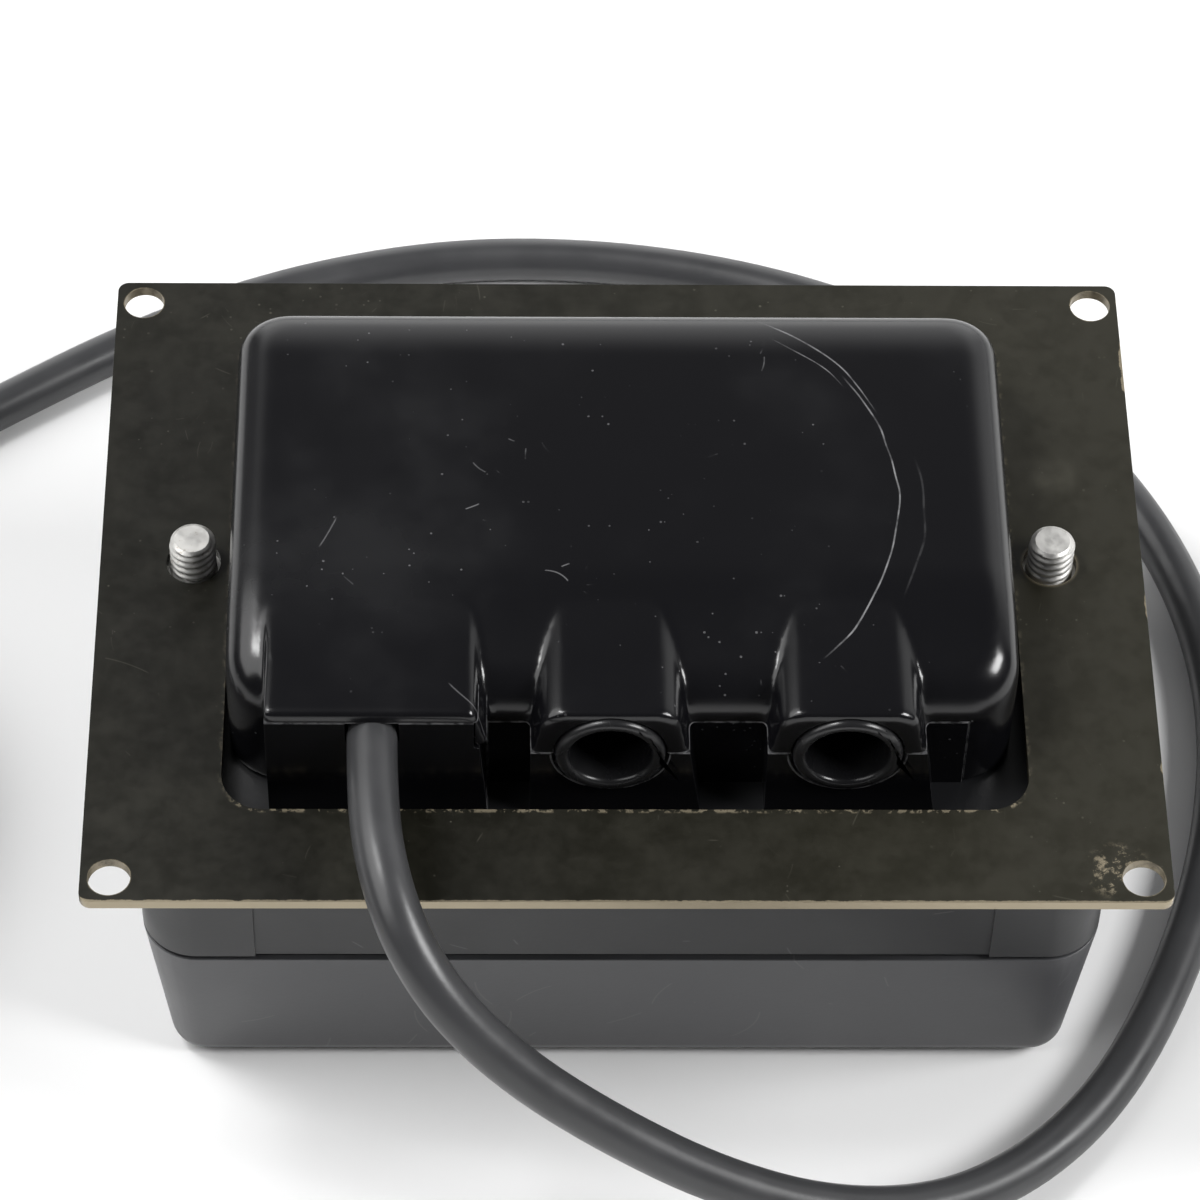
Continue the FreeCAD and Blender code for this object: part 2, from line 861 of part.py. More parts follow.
def plate_screws():
    """The two screws that clamp the housing to the plate, each with its washer and nut."""
    for name, sign in (("left", "-1"), ("right", "1")):
        x = f"{sign} * screw_x"
        washer = rod("washer_disc_" + name, "washer_radius", "washer_thick", x, "box_offset",
                     "deck_underside - washer_thick")
        hole = rod("washer_hole_" + name, "screw_radius + running_gap", "4", x, "box_offset",
                   "deck_underside - 3")
        keep(carved(name + "_screw_washer", washer, [hole]))
        seat = "deck_underside - washer_thick"
        head = rod("screw_head_" + name, "screw_head_radius", "screw_head_height", x,
                   "box_offset", f"{seat} - screw_head_height")
        shank = rod("screw_shank_" + name, "screw_radius",
                    f"plate_top + screw_proud - screw_tip - ( {seat} )", x, "box_offset", seat)
        tip = cone("screw_tip_" + name, "screw_radius", "screw_radius - screw_tip", "screw_tip",
                   x, "box_offset", "plate_top + screw_proud - screw_tip")
        solid = joined("screw_solid_" + name, [head, shank, tip])
        socket = doc.addObject("Part::Prism", "screw_socket_" + name)
        socket.Polygon = 6
        bind(socket, "Circumradius", "screw_socket")
        bind(socket, "Height", "screw_head_height")
        put(socket, x, "box_offset", f"{seat} - screw_head_height - screw_head_height / 2")
        keep(carved(name + "_screw", solid, [socket]))
    nuts = []
    for name, sign in (("left", "-1"), ("right", "1")):
        x = f"{sign} * screw_x"
        body = rod("nut_body_" + name, "clinch_radius", "clinch_height", x, "box_offset",
                   "plate_level - clinch_height")
        bore = rod("nut_bore_" + name, "screw_radius + running_gap", "6", x, "box_offset",
                   "deck_level - 1")
        nuts.append(carved("nut_" + name, body, [bore]))
    keep(joined("screw_nuts", nuts))


def small_screws(name, spread_x, spread_y, seat, length):
    """Four pan-head screws driven upwards, with their heads under the seat."""
    screws = []
    for place, x, y in corner_places(spread_x, spread_y):
        head = rod(f"{name}_head_{place}", "small_head_radius", "small_head_height", x, y,
                   f"{seat} - small_head_height")
        shank = rod(f"{name}_shank_{place}", "tray_screw_radius", length, x, y, seat)
        screws.append(joined(f"{name}_{place}", [head, shank]))
    keep(joined(name, screws))


def grommets():
    grommet("middle_grommet", "entry_middle")
    grommet("right_grommet", "right_x")


def circuit_board():
    board = box("board_sheet", "board_width", "board_depth", "board_thick", "0", "box_offset",
                "board_level")
    holes = []
    for place, x, y in corner_places("post_x", "post_y"):
        bore = "tray_screw_radius + running_gap"
        holes.append(rod("board_hole_" + place, bore, "4", x, y, "board_level - 1"))
    keep(carved("circuit_board", board, holes))


def transformer():
    """A laminated core with two windows and the winding on its middle limb."""
    x, y = "0 - 18", "12"
    stack = box("core_stack", "38", "14", "32", x, y, "board_top")
    windows = []
    for name, shift in (("left", "0 - 9"), ("right", "9")):
        windows.append(box("core_window_" + name, "6", "20", "20", f"{x} + {shift}", y,
                           "board_top + 6"))
    keep(carved("transformer_core", stack, windows))
    coil = box("winding_block", "23.4", "28", "19.4", x, y, "board_top + 6.3")
    limb = box("winding_limb", "12.6", "14.6", "24", x, y, "board_top + 4")
    shaped = rounded("winding_round", coil, 2.5, lambda middle, way: abs(way.z) > 0.9)
    keep(carved("transformer_winding", shaped, [limb]))


def relays():
    for name, x in (("relay_left", "14"), ("relay_right", "34")):
        case = box(name + "_case", "19", "15.5", "13", x, "0 - 12", "board_top")
        keep(rounded(name, case, 0.8, lambda middle, way: abs(way.z) > 0.9))


def terminal_block():
    """Six screw clamps for the supply and the door's control wires."""
    block = box("terminal_body", "30", "9", "11", "0 - 24", "0 - 12", "board_top")
    wells = []
    heads = []
    for index in range(6):
        x = f"0 - 36.5 + {5 * index}"
        wells.append(rod(f"terminal_well_{index}", "1.9", "4", x, "0 - 11", "board_top + 8"))
        mouth = box(f"terminal_mouth_{index}", "3.2", "4", "3.2", x, "0 - 16", "board_top + 2")
        wells.append(mouth)
        heads.append(rod(f"terminal_screw_{index}", "1.75", "1.6", x, "0 - 11", "board_top + 8"))
    keep(carved("terminal_block", block, wells))
    keep(joined("terminal_screws", heads))


def fuse_and_clips():
    level = "board_top + 4.5"
    glass = rod("fuse_glass", "2.5", "20", "0 - 40", "0 - 21.5", level, along_x)
    caps = []
    clips = []
    for name, x in (("left", "0 - 40"), ("right", "0 - 25")):
        caps.append(rod("fuse_cap_" + name, "2.6", "5", x, "0 - 21.5", level, along_x))
        clip = box("fuse_clip_block_" + name, "4", "7", "6", f"{x} + 2.5", "0 - 21.5", "board_top")
        room = rod("fuse_clip_room_" + name, "2.65", "8", f"{x} - 1", "0 - 21.5", level, along_x)
        clips.append(carved("fuse_clip_" + name, clip, [room]))
    keep(joined("fuse", [glass] + caps))
    keep(joined("fuse_clips", clips))


def board_components():
    """The smaller parts soldered on the board."""
    big = rod("capacitor_big", "6.2", "14", "12", "8", "board_top")
    small = rod("capacitor_small", "4", "11", "12", "20", "board_top")
    keep(joined("capacitors", [big, small]))
    chip = box("controller_body", "18", "7.5", "3.2", "31", "4", "board_top + 0.6")
    legs = []
    for index in range(8):
        x = f"31 - 7.7 + {2.2 * index}"
        legs.append(box(f"controller_leg_{index}", "0.6", "9", "0.6", x, "4", "board_top"))
    keep(joined("controller_chip", [chip] + legs))
    plate = box("receiver_sheet", "22", "12", "1.2", "33", "18", "board_top + 2")
    can = box("receiver_can", "14", "9", "3.5", "33", "18", "board_top + 3.2")
    foot = box("receiver_header", "20", "2.4", "2", "33", "13.6", "board_top")
    keep(joined("radio_receiver", [plate, can, foot]))
    stem = rod("antenna_stem", "0.7", "9", "0 - 43", "0 - 2", "board_top")
    arm = rod("antenna_arm", "0.7", "30", "0 - 43", "0 - 2", "board_top + 8.3", along_y)
    keep(joined("antenna", [stem, arm]))
    disc = rod("varistor_disc", "4.5", "3.2", "44", "25", "board_top + 5.5", along_y)
    leads = []
    for name, x in (("left", "41.5"), ("right", "46.5")):
        leads.append(rod("varistor_lead_" + name, "0.4", "5", x, "26.6", "board_top"))
    keep(joined("varistor", [disc] + leads))


def learn_switch():
    """A small key on the board that pairs a new remote control."""
    body = box("learn_body", "6", "6", "3.6", "0 - 2.5", "26.5", "board_top")
    well = rod("learn_well", "1.6 + running_gap", "3", "0 - 2.5", "26.5", "board_top + 1.6")
    keep(carved("learn_switch", body, [well]))
    keep(rod("learn_button", "1.6", "3", "0 - 2.5", "26.5", "board_top + 2.2"))


def status_light():
    """A light on the board's front side and the rod that carries it to the front face."""
    keep(rod("status_light", "2.1", "3.4", "28", "box_offset", "board_level - 3.4"))
    keep(rod("light_pipe", "2.1", "board_level - 3.4 - contact_gap - 0.4", "28", "box_offset",
             "0.4"))


def push_button():
    """The sprung front button, its guide, its spring and the switch that it presses."""
    cap = rod("button_cap", "button_radius", "button_top - button_recess", "0", "box_offset",
              "button_recess")
    flange = rod("button_flange", "button_radius + flange_reach", "flange_thick", "0",
                 "box_offset", "button_top")
    stem = rod("button_stem", "stem_radius", "stem_top - button_top", "0", "box_offset",
               "button_top")
    keep(joined("push_button", [cap, flange, stem]))
    bridge = box("guide_bridge", "guide_width", "guide_depth", "guide_thick", "0", "box_offset",
                 "guide_level")
    hole = rod("guide_hole", "stem_radius + running_gap", "6", "0", "box_offset",
               "guide_level - 1")
    keep(carved("button_guide", bridge, [hole]))
    switch = box("switch_case", "switch_width", "switch_depth", "switch_height", "0",
                 "box_offset", "board_level - switch_height")
    well = rod("switch_well", "plunger_radius + running_gap", "button_travel + 3", "0",
               "box_offset", "board_level - switch_height - 1")
    keep(carved("button_switch", switch, [well]))
    keep(rod("switch_plunger", "plunger_radius", "plunger_proud + 1.2", "0", "box_offset",
             "board_level - switch_height - plunger_proud"))


def button_spring():
    """A steel helix between the button's flange and the guide."""
    radius = number("spring_radius")
    wire = number("spring_wire")
    low = number("button_top + flange_thick + spring_wire + contact_gap")
    high = number("guide_level - spring_wire - contact_gap")
    helix = Part.makeHelix((high - low) / number("spring_turns"), high - low, radius)
    start = FreeCAD.Vector(radius, 0, 0)
    circle = Part.Wire(Part.makeCircle(wire, start, FreeCAD.Vector(0, 1, 0)))
    coil = Part.Wire(helix).makePipeShell([circle], True, True)
    item = doc.addObject("Part::Feature", "button_spring")
    item.Shape = coil
    item.Placement = FreeCAD.Placement(FreeCAD.Vector(0, number("box_offset"), low), upright)
    keep(item)


def cord_clamp():
    """The block on the shelf that grips the cord, with its two screws."""
    y = "wall_front + 8"
    level = "cable_level - cord_radius - 3"
    foot = box("clamp_base", "clamp_width", "clamp_depth", "clamp_foot", "cable_x", y, level)
    grip = box("clamp_grip", "2 * cord_radius + 2.6", "clamp_depth", "cord_radius + 3", "cable_x",
               y, level)
    bore = rod("clamp_bore", "cord_radius", "12", "cable_x", f"{y} - 6", "cable_level", along_y)
    bores = [bore]
    screws = []
    for name, sign in (("left", "-1"), ("right", "1")):
        x = f"cable_x + {sign} * clamp_screw_x"
        bores.append(rod("clamp_hole_" + name, "1.2 + running_gap", "8", x, y, f"{level} - 2"))
        head = rod("clamp_head_" + name, "1.7", "1.4", x, y, f"{level} + clamp_foot")
        shank = rod("clamp_shank_" + name, "1.2", "clamp_foot", x, y, level)
        screws.append(joined("clamp_screw_" + name, [head, shank]))
    body = joined("clamp_body", [foot, grip])
    keep(carved("cord_clamp", body, bores))
    keep(joined("clamp_screws", screws))


def rounded_path(points):
    """Straight runs through the points with an arc, tangent to both runs, at each corner."""
    corners = [FreeCAD.Vector(*point) for point in points]
    edges = []
    radii = []
    last = corners[0]
    for before, corner, after in zip(corners, corners[1:], corners[2:]):
        back = (before - corner).normalize()
        ahead = (after - corner).normalize()
        turn = math.pi - back.getAngle(ahead)
        cut = 0.45 * min(before.distanceToPoint(corner), after.distanceToPoint(corner))
        radius = cut / math.tan(turn / 2)
        start = corner + back * cut
        end = corner + ahead * cut
        middle_way = (back + ahead).normalize()
        depth = radius / math.cos(turn / 2) - radius
        edges.append(Part.LineSegment(last, start).toShape())
        edges.append(Part.Arc(start, corner + middle_way * depth, end).toShape())
        radii.append(radius)
        last = end
    edges.append(Part.LineSegment(last, corners[-1]).toShape())
    return Part.Wire(edges), radii


def tube(name, points, radius):
    path, radii = rounded_path(points)
    way = FreeCAD.Vector(*points[1]) - FreeCAD.Vector(*points[0])
    circle = Part.Wire(Part.makeCircle(radius, FreeCAD.Vector(*points[0]), way))
    item = doc.addObject("Part::Feature", name)
    item.Shape = path.makePipeShell([circle], True, False)
    wanted = math.pi * radius ** 2 * path.Length
    smallest = min(radii) if radii else 0
    print(name, "length", round(path.Length, 1), "smallest radius", round(smallest, 1),
          "volume ratio", round(item.Shape.Volume / wanted, 3))
    return keep(item)


def supply_cord():
    """The cord inside the entry, its free stretch, the coil and the tail to the plug."""
    radius = number("cord_radius")
    level = number("cable_level")
    front = number("entry_front")
    inner = [(number("cable_x"), front, level), (number("cable_x"), front + 17, level)]
    tube("cord_inner", inner, radius)
    start = cord_route[0]
    shift = (number("cable_x") - start[0], front - start[1], level - start[2])
    first = [tuple(a + b for a, b in zip(start, shift))]
    tube("cord_free", first + cord_route[1:], radius)
    outer = "coil_radius + coil_width / 2"
    inside = "coil_radius - coil_width / 2"
    height = "4 * cord_radius"
    disc = rod("coil_disc", outer, height, "coil_middle_x", "coil_middle_y", "0")
    core = rod("coil_core", inside, "6 * cord_radius", "coil_middle_x", "coil_middle_y",
               "0 - cord_radius")
    keep(carved("cord_coil", disc, [core]))


def conductors():
    """The three insulated cores from the end of the sheath down to the clamps."""
    level = number("cable_level")
    end = number("entry_front") + 17
    wires = []
    for index, shift in enumerate((-1.9, 0.0, 1.9)):
        x = number("cable_x") + shift
        target = -36.5 + 5 * index
        points = [
            (x, end, level),
            (x, end + 3.0, level),
            (x + 0.2, end + 5.0, level - 6),
            ((x + target) / 2, end + 4.6, level - 12),
            (target, end + 2.0, level - 18),
            (target, end + 0.2, level - 24),
        ]
        path, radii = rounded_path(points)
        way = FreeCAD.Vector(*points[1]) - FreeCAD.Vector(*points[0])
        circle = Part.Wire(Part.makeCircle(0.9, FreeCAD.Vector(*points[0]), way))
        wires.append(path.makePipeShell([circle], True, False))
    item = doc.addObject("Part::Feature", "supply_wires")
    item.Shape = Part.makeCompound(wires)
    keep(item)


def plug():
    """The tail of the cord and a plain three-pin plug lying beside the coil."""
    tail_x = number("coil_middle_x - coil_radius - coil_width / 3")
    level = number("plug_height / 2")
    start = number("coil_middle_y") - 14
    end = start - 14
    tube("cord_tail", [(tail_x, start, level), (tail_x, end, level)], number("cord_radius"))
    x = "coil_middle_x - coil_radius - coil_width / 3"
    y = "coil_middle_y - 28"
    toward_plug = FreeCAD.Rotation(FreeCAD.Vector(1, 0, 0), 90)
    boot = cone("boot_cone", "cord_radius + 1", "boot_radius", "boot_length", x, y,
                "plug_height / 2", toward_plug)
    keep(boot)
    boot.Label = "plug_boot"
    face = f"{y} - boot_length - plug_length"
    block = box("plug_block", "plug_width", "plug_length", "plug_height", x,
                f"{y} - boot_length - plug_length / 2", "0")
    body = rounded("plug_body", block, number("plug_round"), lambda middle, way: abs(way.y) > 0.9)
    keep(body)
    blades = []
    for name, shift in (("left", "0 - 6.35"), ("right", "6.35")):
        blades.append(box("plug_blade_" + name, "1.5", "17", "6.3", f"{x} + {shift}",
                          f"{face} - 8.5", "plug_height / 2 - 6.3 + 2"))
    keep(joined("plug_blades", blades))
    keep(rod("plug_ground_pin", "2.4", "20", x, face, "plug_height / 2 + 5.4", toward_plug))


def check(item):
    """Stops on a failed object, an empty shape or a broken solid."""
    if "Invalid" in item.State or "Error" in item.State:
        raise RuntimeError(f"{item.Label} failed: {item.State}")
    if item.Shape.isNull() or not item.Shape.isValid() or not item.Shape.Solids:
        raise RuntimeError(f"{item.Label} has no valid shape")


def write_parts():
    doc.recompute()
    for item in doc.Objects:
        if "Invalid" in item.State or "Error" in item.State:
            raise RuntimeError(f"{item.Label} failed: {item.State}")
    os.makedirs("parts", exist_ok=True)
    for item in nodes:
        check(item)
        item.Shape.exportStep(f"parts/{item.Label}.step")
    print(len(nodes), "sub-parts written")


fill_sheet()
mounting_plate()
keep(ring("plate_gasket", "gasket_inset", "housing_wall", "gasket_level", "gasket_thick"))
keep(ring("groove_seal", "seal_recess", "housing_wall", "seal_level", "seal_thick"))
front_tray()
tray_screws()
middle_frame()
rear_cover()
entry_block()
grommets()
small_screws("cover_screws", "cover_screw_x", "cover_screw_y", "deck_underside", "deck_thick + 7")
plate_screws()
circuit_board()
small_screws("board_screws", "post_x", "post_y", "board_level", "board_thick + 7")
transformer()
relays()
terminal_block()
fuse_and_clips()
board_components()
learn_switch()
status_light()
push_button()
button_spring()
cord_clamp()
conductors()
supply_cord()
plug()
write_parts()
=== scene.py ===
import bpy
import bmesh
import math
from mathutils import Matrix, Vector


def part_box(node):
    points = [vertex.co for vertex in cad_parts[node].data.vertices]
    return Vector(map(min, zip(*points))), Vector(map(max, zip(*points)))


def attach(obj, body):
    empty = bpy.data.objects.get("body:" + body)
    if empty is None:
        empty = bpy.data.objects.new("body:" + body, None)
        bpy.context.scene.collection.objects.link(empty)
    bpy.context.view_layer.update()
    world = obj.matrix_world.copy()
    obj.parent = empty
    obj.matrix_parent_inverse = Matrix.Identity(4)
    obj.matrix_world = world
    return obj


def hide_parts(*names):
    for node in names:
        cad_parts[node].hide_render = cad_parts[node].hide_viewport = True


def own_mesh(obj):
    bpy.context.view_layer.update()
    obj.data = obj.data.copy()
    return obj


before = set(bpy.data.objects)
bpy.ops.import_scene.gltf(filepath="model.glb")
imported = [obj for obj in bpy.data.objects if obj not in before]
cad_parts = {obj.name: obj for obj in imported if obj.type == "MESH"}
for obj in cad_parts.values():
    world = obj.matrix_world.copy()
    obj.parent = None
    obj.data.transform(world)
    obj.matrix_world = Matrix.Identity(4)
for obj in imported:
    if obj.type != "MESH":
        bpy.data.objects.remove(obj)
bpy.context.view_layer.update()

mm = 0.001
unit = "unit"


# ---- camera ----

cameraSetup = {
    "target": (-3.06, -3.72, 55.0),
    "distance": 654.38,
    "elevation": 52.11,
    "turn": -1.86,
    "roll": 1.6,
    "lens": 147.0,
    "sensor": 36.0,
}


def placeCamera():
    turn = math.radians(cameraSetup["turn"])
    rise = math.radians(cameraSetup["elevation"])
    roll = math.radians(cameraSetup["roll"])
    level = math.cos(rise)
    back = Vector((math.sin(turn) * level, -math.cos(turn) * level, math.sin(rise)))
    right = Vector((math.cos(turn), math.sin(turn), 0))
    up = back.cross(right)
    side = right * math.cos(roll) + up * math.sin(roll)
    top = up * math.cos(roll) - right * math.sin(roll)
    where = (Vector(cameraSetup["target"]) + back * cameraSetup["distance"]) * mm
    bpy.ops.object.camera_add(location=where)
    camera = bpy.context.object
    camera.name = "camera"
    camera.data.lens = cameraSetup["lens"]
    camera.data.sensor_width = cameraSetup["sensor"]
    camera.data.clip_start = 0.02
    camera.matrix_world = Matrix.Translation(where) @ Matrix((side, top, back)).transposed().to_4x4()
    bpy.context.scene.camera = camera


placeCamera()
print("camera placed")


# ---- supply cord ----

cordSetup = {
    "radius": 3.25,
    "coilMiddle": (-140.0, -6.7),
    "slots": (44.9, 38.3, 31.7),     # middle of each ring of the coil
    "layers": (3.3, 9.8),
    "coilStart": 106.0,
    "coilEnd": 180.0 + 5 * 360.0,
    "step": 24.0,
    "shift": (40.0, 106.0),          # where the cord moves over to the next ring
    "climb": (-45.0, 45.0),
    "easeOut": 75.0,                 # turn over which the upper layer moves out by one ring
    "tail": ((12.0, 9.9), (22.0, 10.0), (29.0, 10.0)),   # how far in front of the coil's middle, and how high
}

cordRoute = [
    (-32.7, -35.0, 66.5),
    (-32.5, -46.0, 66.5),
    (-30.8, -56.4, 65.6),
    (-27.5, -64.2, 61.5),
    (-21.8, -69.4, 54.5),
    (-13.2, -72.6, 45.5),
    (-1.9, -74.4, 35.5),
    (11.6, -75.8, 25.5),
    (27.0, -74.9, 16.0),
    (42.9, -69.8, 8.4),
    (57.3, -59.6, 4.0),
    (68.8, -46.5, 3.3),
    (79.0, -26.0, 3.3),
    (85.5, -5.0, 3.3),
    (88.0, 17.5, 3.3),
    (85.0, 38.5, 3.3),
    (76.5, 59.0, 3.3),
    (62.5, 76.5, 3.3),
    (44.0, 90.0, 3.3),
    (22.5, 99.0, 3.3),
    (-1.0, 103.5, 3.3),
    (-24.5, 103.5, 3.3),
    (-48.0, 98.0, 3.3),
    (-70.0, 88.0, 3.3),
    (-91.0, 74.0, 3.3),
    (-112.5, 58.5, 3.3),
    (-134.0, 45.4, 3.3),
]


def eased(value, low, high):
    part = min(max((value - low) / (high - low), 0.0), 1.0)
    return part * part * (3 - 2 * part)


def coilRadius(angle):
    # out on the lower layer, in ring by ring, then out again on the upper layer
    first, second = cordSetup["shift"]
    outer, middle, inner = cordSetup["slots"]
    inwards = eased(angle, first + 360, second + 360) * (outer - middle)
    inwards += eased(angle, first + 720, second + 720) * (middle - inner)
    start, ease = cordSetup["climb"][0], cordSetup["easeOut"]
    outwards = eased(angle, start + 1440, start + 1440 + ease) * (middle - inner)
    outwards += eased(angle, start + 1800, start + 1800 + ease) * (outer - middle)
    return outer - inwards + outwards


def coilHeight(angle):
    low, high = cordSetup["layers"]
    start, end = cordSetup["climb"]
    return low + (high - low) * eased(angle, start + 1080, end + 1080)


def coilPoints():
    points = []
    x, y = cordSetup["coilMiddle"]
    span = cordSetup["coilEnd"] - cordSetup["coilStart"]
    count = round(span / cordSetup["step"])
    for index in range(count + 1):
        angle = cordSetup["coilStart"] + span * index / count
        radius = coilRadius(angle)
        turned = math.radians(angle)
        place = (x + radius * math.cos(turned), y + radius * math.sin(turned))
        points.append((*place, coilHeight(angle)))
    return points


def cordCurve(name, points, radius):
    data = bpy.data.curves.new(name, "CURVE")
    data.dimensions = "3D"
    data.bevel_depth = 1.0      # times each point's radius
    data.bevel_resolution = 7
    data.resolution_u = 8
    data.use_fill_caps = True
    spline = data.splines.new("NURBS")
    spline.points.add(len(points) - 1)
    for point, place in zip(spline.points, points):
        point.co = (place[0] * mm, place[1] * mm, place[2] * mm, 1)
        point.radius = radius * mm
    spline.order_u = 3
    spline.use_endpoint_u = True
    curve = bpy.data.objects.new(name, data)
    bpy.context.collection.objects.link(curve)
    return curve


def supplyCord():
    tailX = cordSetup["coilMiddle"][0] - cordSetup["slots"][0]
    tailY = cordSetup["coilMiddle"][1]
    tail = [(tailX, tailY - ahead, height) for ahead, height in cordSetup["tail"]]
    curve = cordCurve("supplyCord", cordRoute + coilPoints() + tail, cordSetup["radius"])
    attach(curve, unit)
    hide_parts("cord_free", "cord_coil", "cord_tail")
    return curve


cord = supplyCord()
print("cord laid")


# ---- modelling helpers ----

def deselect():
    if bpy.context.object and bpy.context.object.mode != "OBJECT":
        bpy.ops.object.mode_set(mode="OBJECT")
    bpy.ops.object.select_all(action="DESELECT")


def pick(piece):
    deselect()
    piece.select_set(True)
    bpy.context.view_layer.objects.active = piece


def settle(piece, name):
    # the place goes into the mesh, so that the object sits at the origin
    pick(piece)
    bpy.ops.object.transform_apply(location=True, rotation=True, scale=True)
    piece.name = name
    piece.data.name = name
    return piece


def block(name, low, high):
    size = [(b - a) * mm for a, b in zip(low, high)]
    middle = [(a + b) / 2 * mm for a, b in zip(low, high)]
    deselect()
    bpy.ops.mesh.primitive_cube_add(size=1, location=middle)
    piece = bpy.context.object
    piece.scale = size
    return settle(piece, name)


def drum(name, radius, start, end, steps=64, along="Z"):
    # a rod between two points on a line along Z or Y
    length = math.dist(start, end) * mm
    middle = [(a + b) / 2 * mm for a, b in zip(start, end)]
    turn = (0, 0, 0) if along == "Z" else (math.radians(-90), 0, 0)
    deselect()
    bpy.ops.mesh.primitive_cone_add(
        vertices=steps, radius1=radius * mm, radius2=radius * mm, depth=length, location=middle,
        rotation=turn)
    return settle(bpy.context.object, name)


def selectEdges(piece, wanted):
    pick(piece)
    bpy.ops.object.mode_set(mode="EDIT")
    bpy.ops.mesh.select_mode(type="EDGE")
    bpy.ops.mesh.select_all(action="DESELECT")
    mesh = bmesh.from_edit_mesh(piece.data)
    for edge in mesh.edges:
        middle = (edge.verts[0].co + edge.verts[1].co) / 2 / mm
        way = (edge.verts[1].co - edge.verts[0].co).normalized()
        edge.select_set(wanted(middle, way))
    mesh.select_flush_mode()
    bmesh.update_edit_mesh(piece.data)


def roundEdges(piece, width, steps, wanted):
    selectEdges(piece, wanted)
    bpy.ops.mesh.bevel(offset=width * mm, offset_type="OFFSET", segments=steps, profile=0.5)
    bpy.ops.object.mode_set(mode="OBJECT")
    return piece


def modify(piece, kind, **values):
    pick(piece)
    modifier = piece.modifiers.new(kind.lower(), kind)
    for key, value in values.items():
        setattr(modifier, key, value)
    bpy.ops.object.modifier_apply(modifier=modifier.name)
    return piece


def combine(piece, tool, way, solver="MANIFOLD"):
    modify(piece, "BOOLEAN", operation=way, object=tool, solver=solver)
    bpy.data.objects.remove(tool, do_unlink=True)
    return piece


def smooth(piece, angle=35):
    pick(piece)
    bpy.ops.object.shade_smooth_by_angle(angle=math.radians(angle))
    return piece


def evenShading(piece):
    # large flat faces keep flat shading beside small rounded edges
    return modify(piece, "WEIGHTED_NORMAL", mode="FACE_AREA", weight=50, keep_sharp=True)


def plainCopy(name, node):
    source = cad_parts[node]
    piece = source.copy()
    piece.data = source.data.copy()
    piece.name = name
    piece.data.name = name
    bpy.context.collection.objects.link(piece)
    piece.hide_render = False
    piece.hide_viewport = False
    pick(piece)
    bpy.ops.object.mode_set(mode="EDIT")
    bpy.ops.mesh.select_all(action="SELECT")
    bpy.ops.mesh.remove_doubles(threshold=0.00001)
    bpy.ops.mesh.dissolve_limited(angle_limit=math.radians(1.0))
    bpy.ops.object.mode_set(mode="OBJECT")
    return piece


def softCopy(name, node, width, steps=2, angle=32):
    # a copy of a machined piece with its sharp edges broken
    piece = plainCopy(name, node)
    modify(piece, "BEVEL", width=width * mm, segments=steps, limit_method="ANGLE",
           angle_limit=math.radians(angle), use_clamp_overlap=True)
    smooth(piece, 40)
    return evenShading(piece)


def standIn(piece, body, slot, *nodes):
    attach(piece, body)
    if nodes:
        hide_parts(*nodes)
    return piece


# ---- shader helpers ----

def addNode(tree, kind, values=None, **settings):
    made = tree.nodes.new(kind)
    for key, value in settings.items():
        setattr(made, key, value)
    for key, value in (values or {}).items():
        socket = made.inputs[key]
        if isinstance(value, bpy.types.NodeSocket):
            tree.links.new(value, socket)
        else:
            socket.default_value = value
    return made


def calc(tree, way, first, second=0.0, third=0.0, clamp=False):
    made = addNode(tree, "ShaderNodeMath", {0: first, 1: second, 2: third}, operation=way, use_clamp=clamp)
    return made.outputs[0]


def farFrom(tree, across, along):
    # the length of a line from its two level parts
    squares = [calc(tree, "MULTIPLY", part, part) for part in (across, along)]
    return calc(tree, "SQRT", calc(tree, "ADD", *squares))


def ramp(tree, value, low, high, start=0.0, end=1.0):
    # start below low, end above high, and a smooth step between
    made = addNode(tree, "ShaderNodeMapRange", {"Value": value, "From Min": low, "From Max": high,
                   "To Min": start, "To Max": end}, interpolation_type="SMOOTHSTEP")
    return made.outputs[0]


def noise(tree, where, scale, detail=3.0, rough=0.55, distort=0.0):
    return addNode(tree, "ShaderNodeTexNoise", {"Vector": where, "Scale": scale, "Detail": detail,
                   "Roughness": rough, "Distortion": distort}).outputs[0]


def blendColor(tree, mask, first, second):
    made = addNode(tree, "ShaderNodeMix", data_type="RGBA")
    for index, value in ((0, mask), (6, first), (7, second)):
        if isinstance(value, bpy.types.NodeSocket):
            tree.links.new(value, made.inputs[index])
        else:
            made.inputs[index].default_value = value
    return made.outputs[2]


def newGroup(name, inputs, outputs):
    group = bpy.data.node_groups.new(name, "ShaderNodeTree")
    for label, kind, value in inputs:
        socket = group.interface.new_socket(
            name=label, in_out="INPUT", socket_type="NodeSocket" + kind)
        if value is not None:
            socket.default_value = value
    for label, kind in outputs:
        group.interface.new_socket(name=label, in_out="OUTPUT", socket_type="NodeSocket" + kind)
    return group, group.nodes.new("NodeGroupInput"), group.nodes.new("NodeGroupOutput")


def placeGroup(tree, group, values):
    made = tree.nodes.new("ShaderNodeGroup")
    made.node_tree = group
    for key, value in values.items():
        if isinstance(value, bpy.types.NodeSocket):
            tree.links.new(value, made.inputs[key])
        else:
            made.inputs[key].default_value = value
    return made


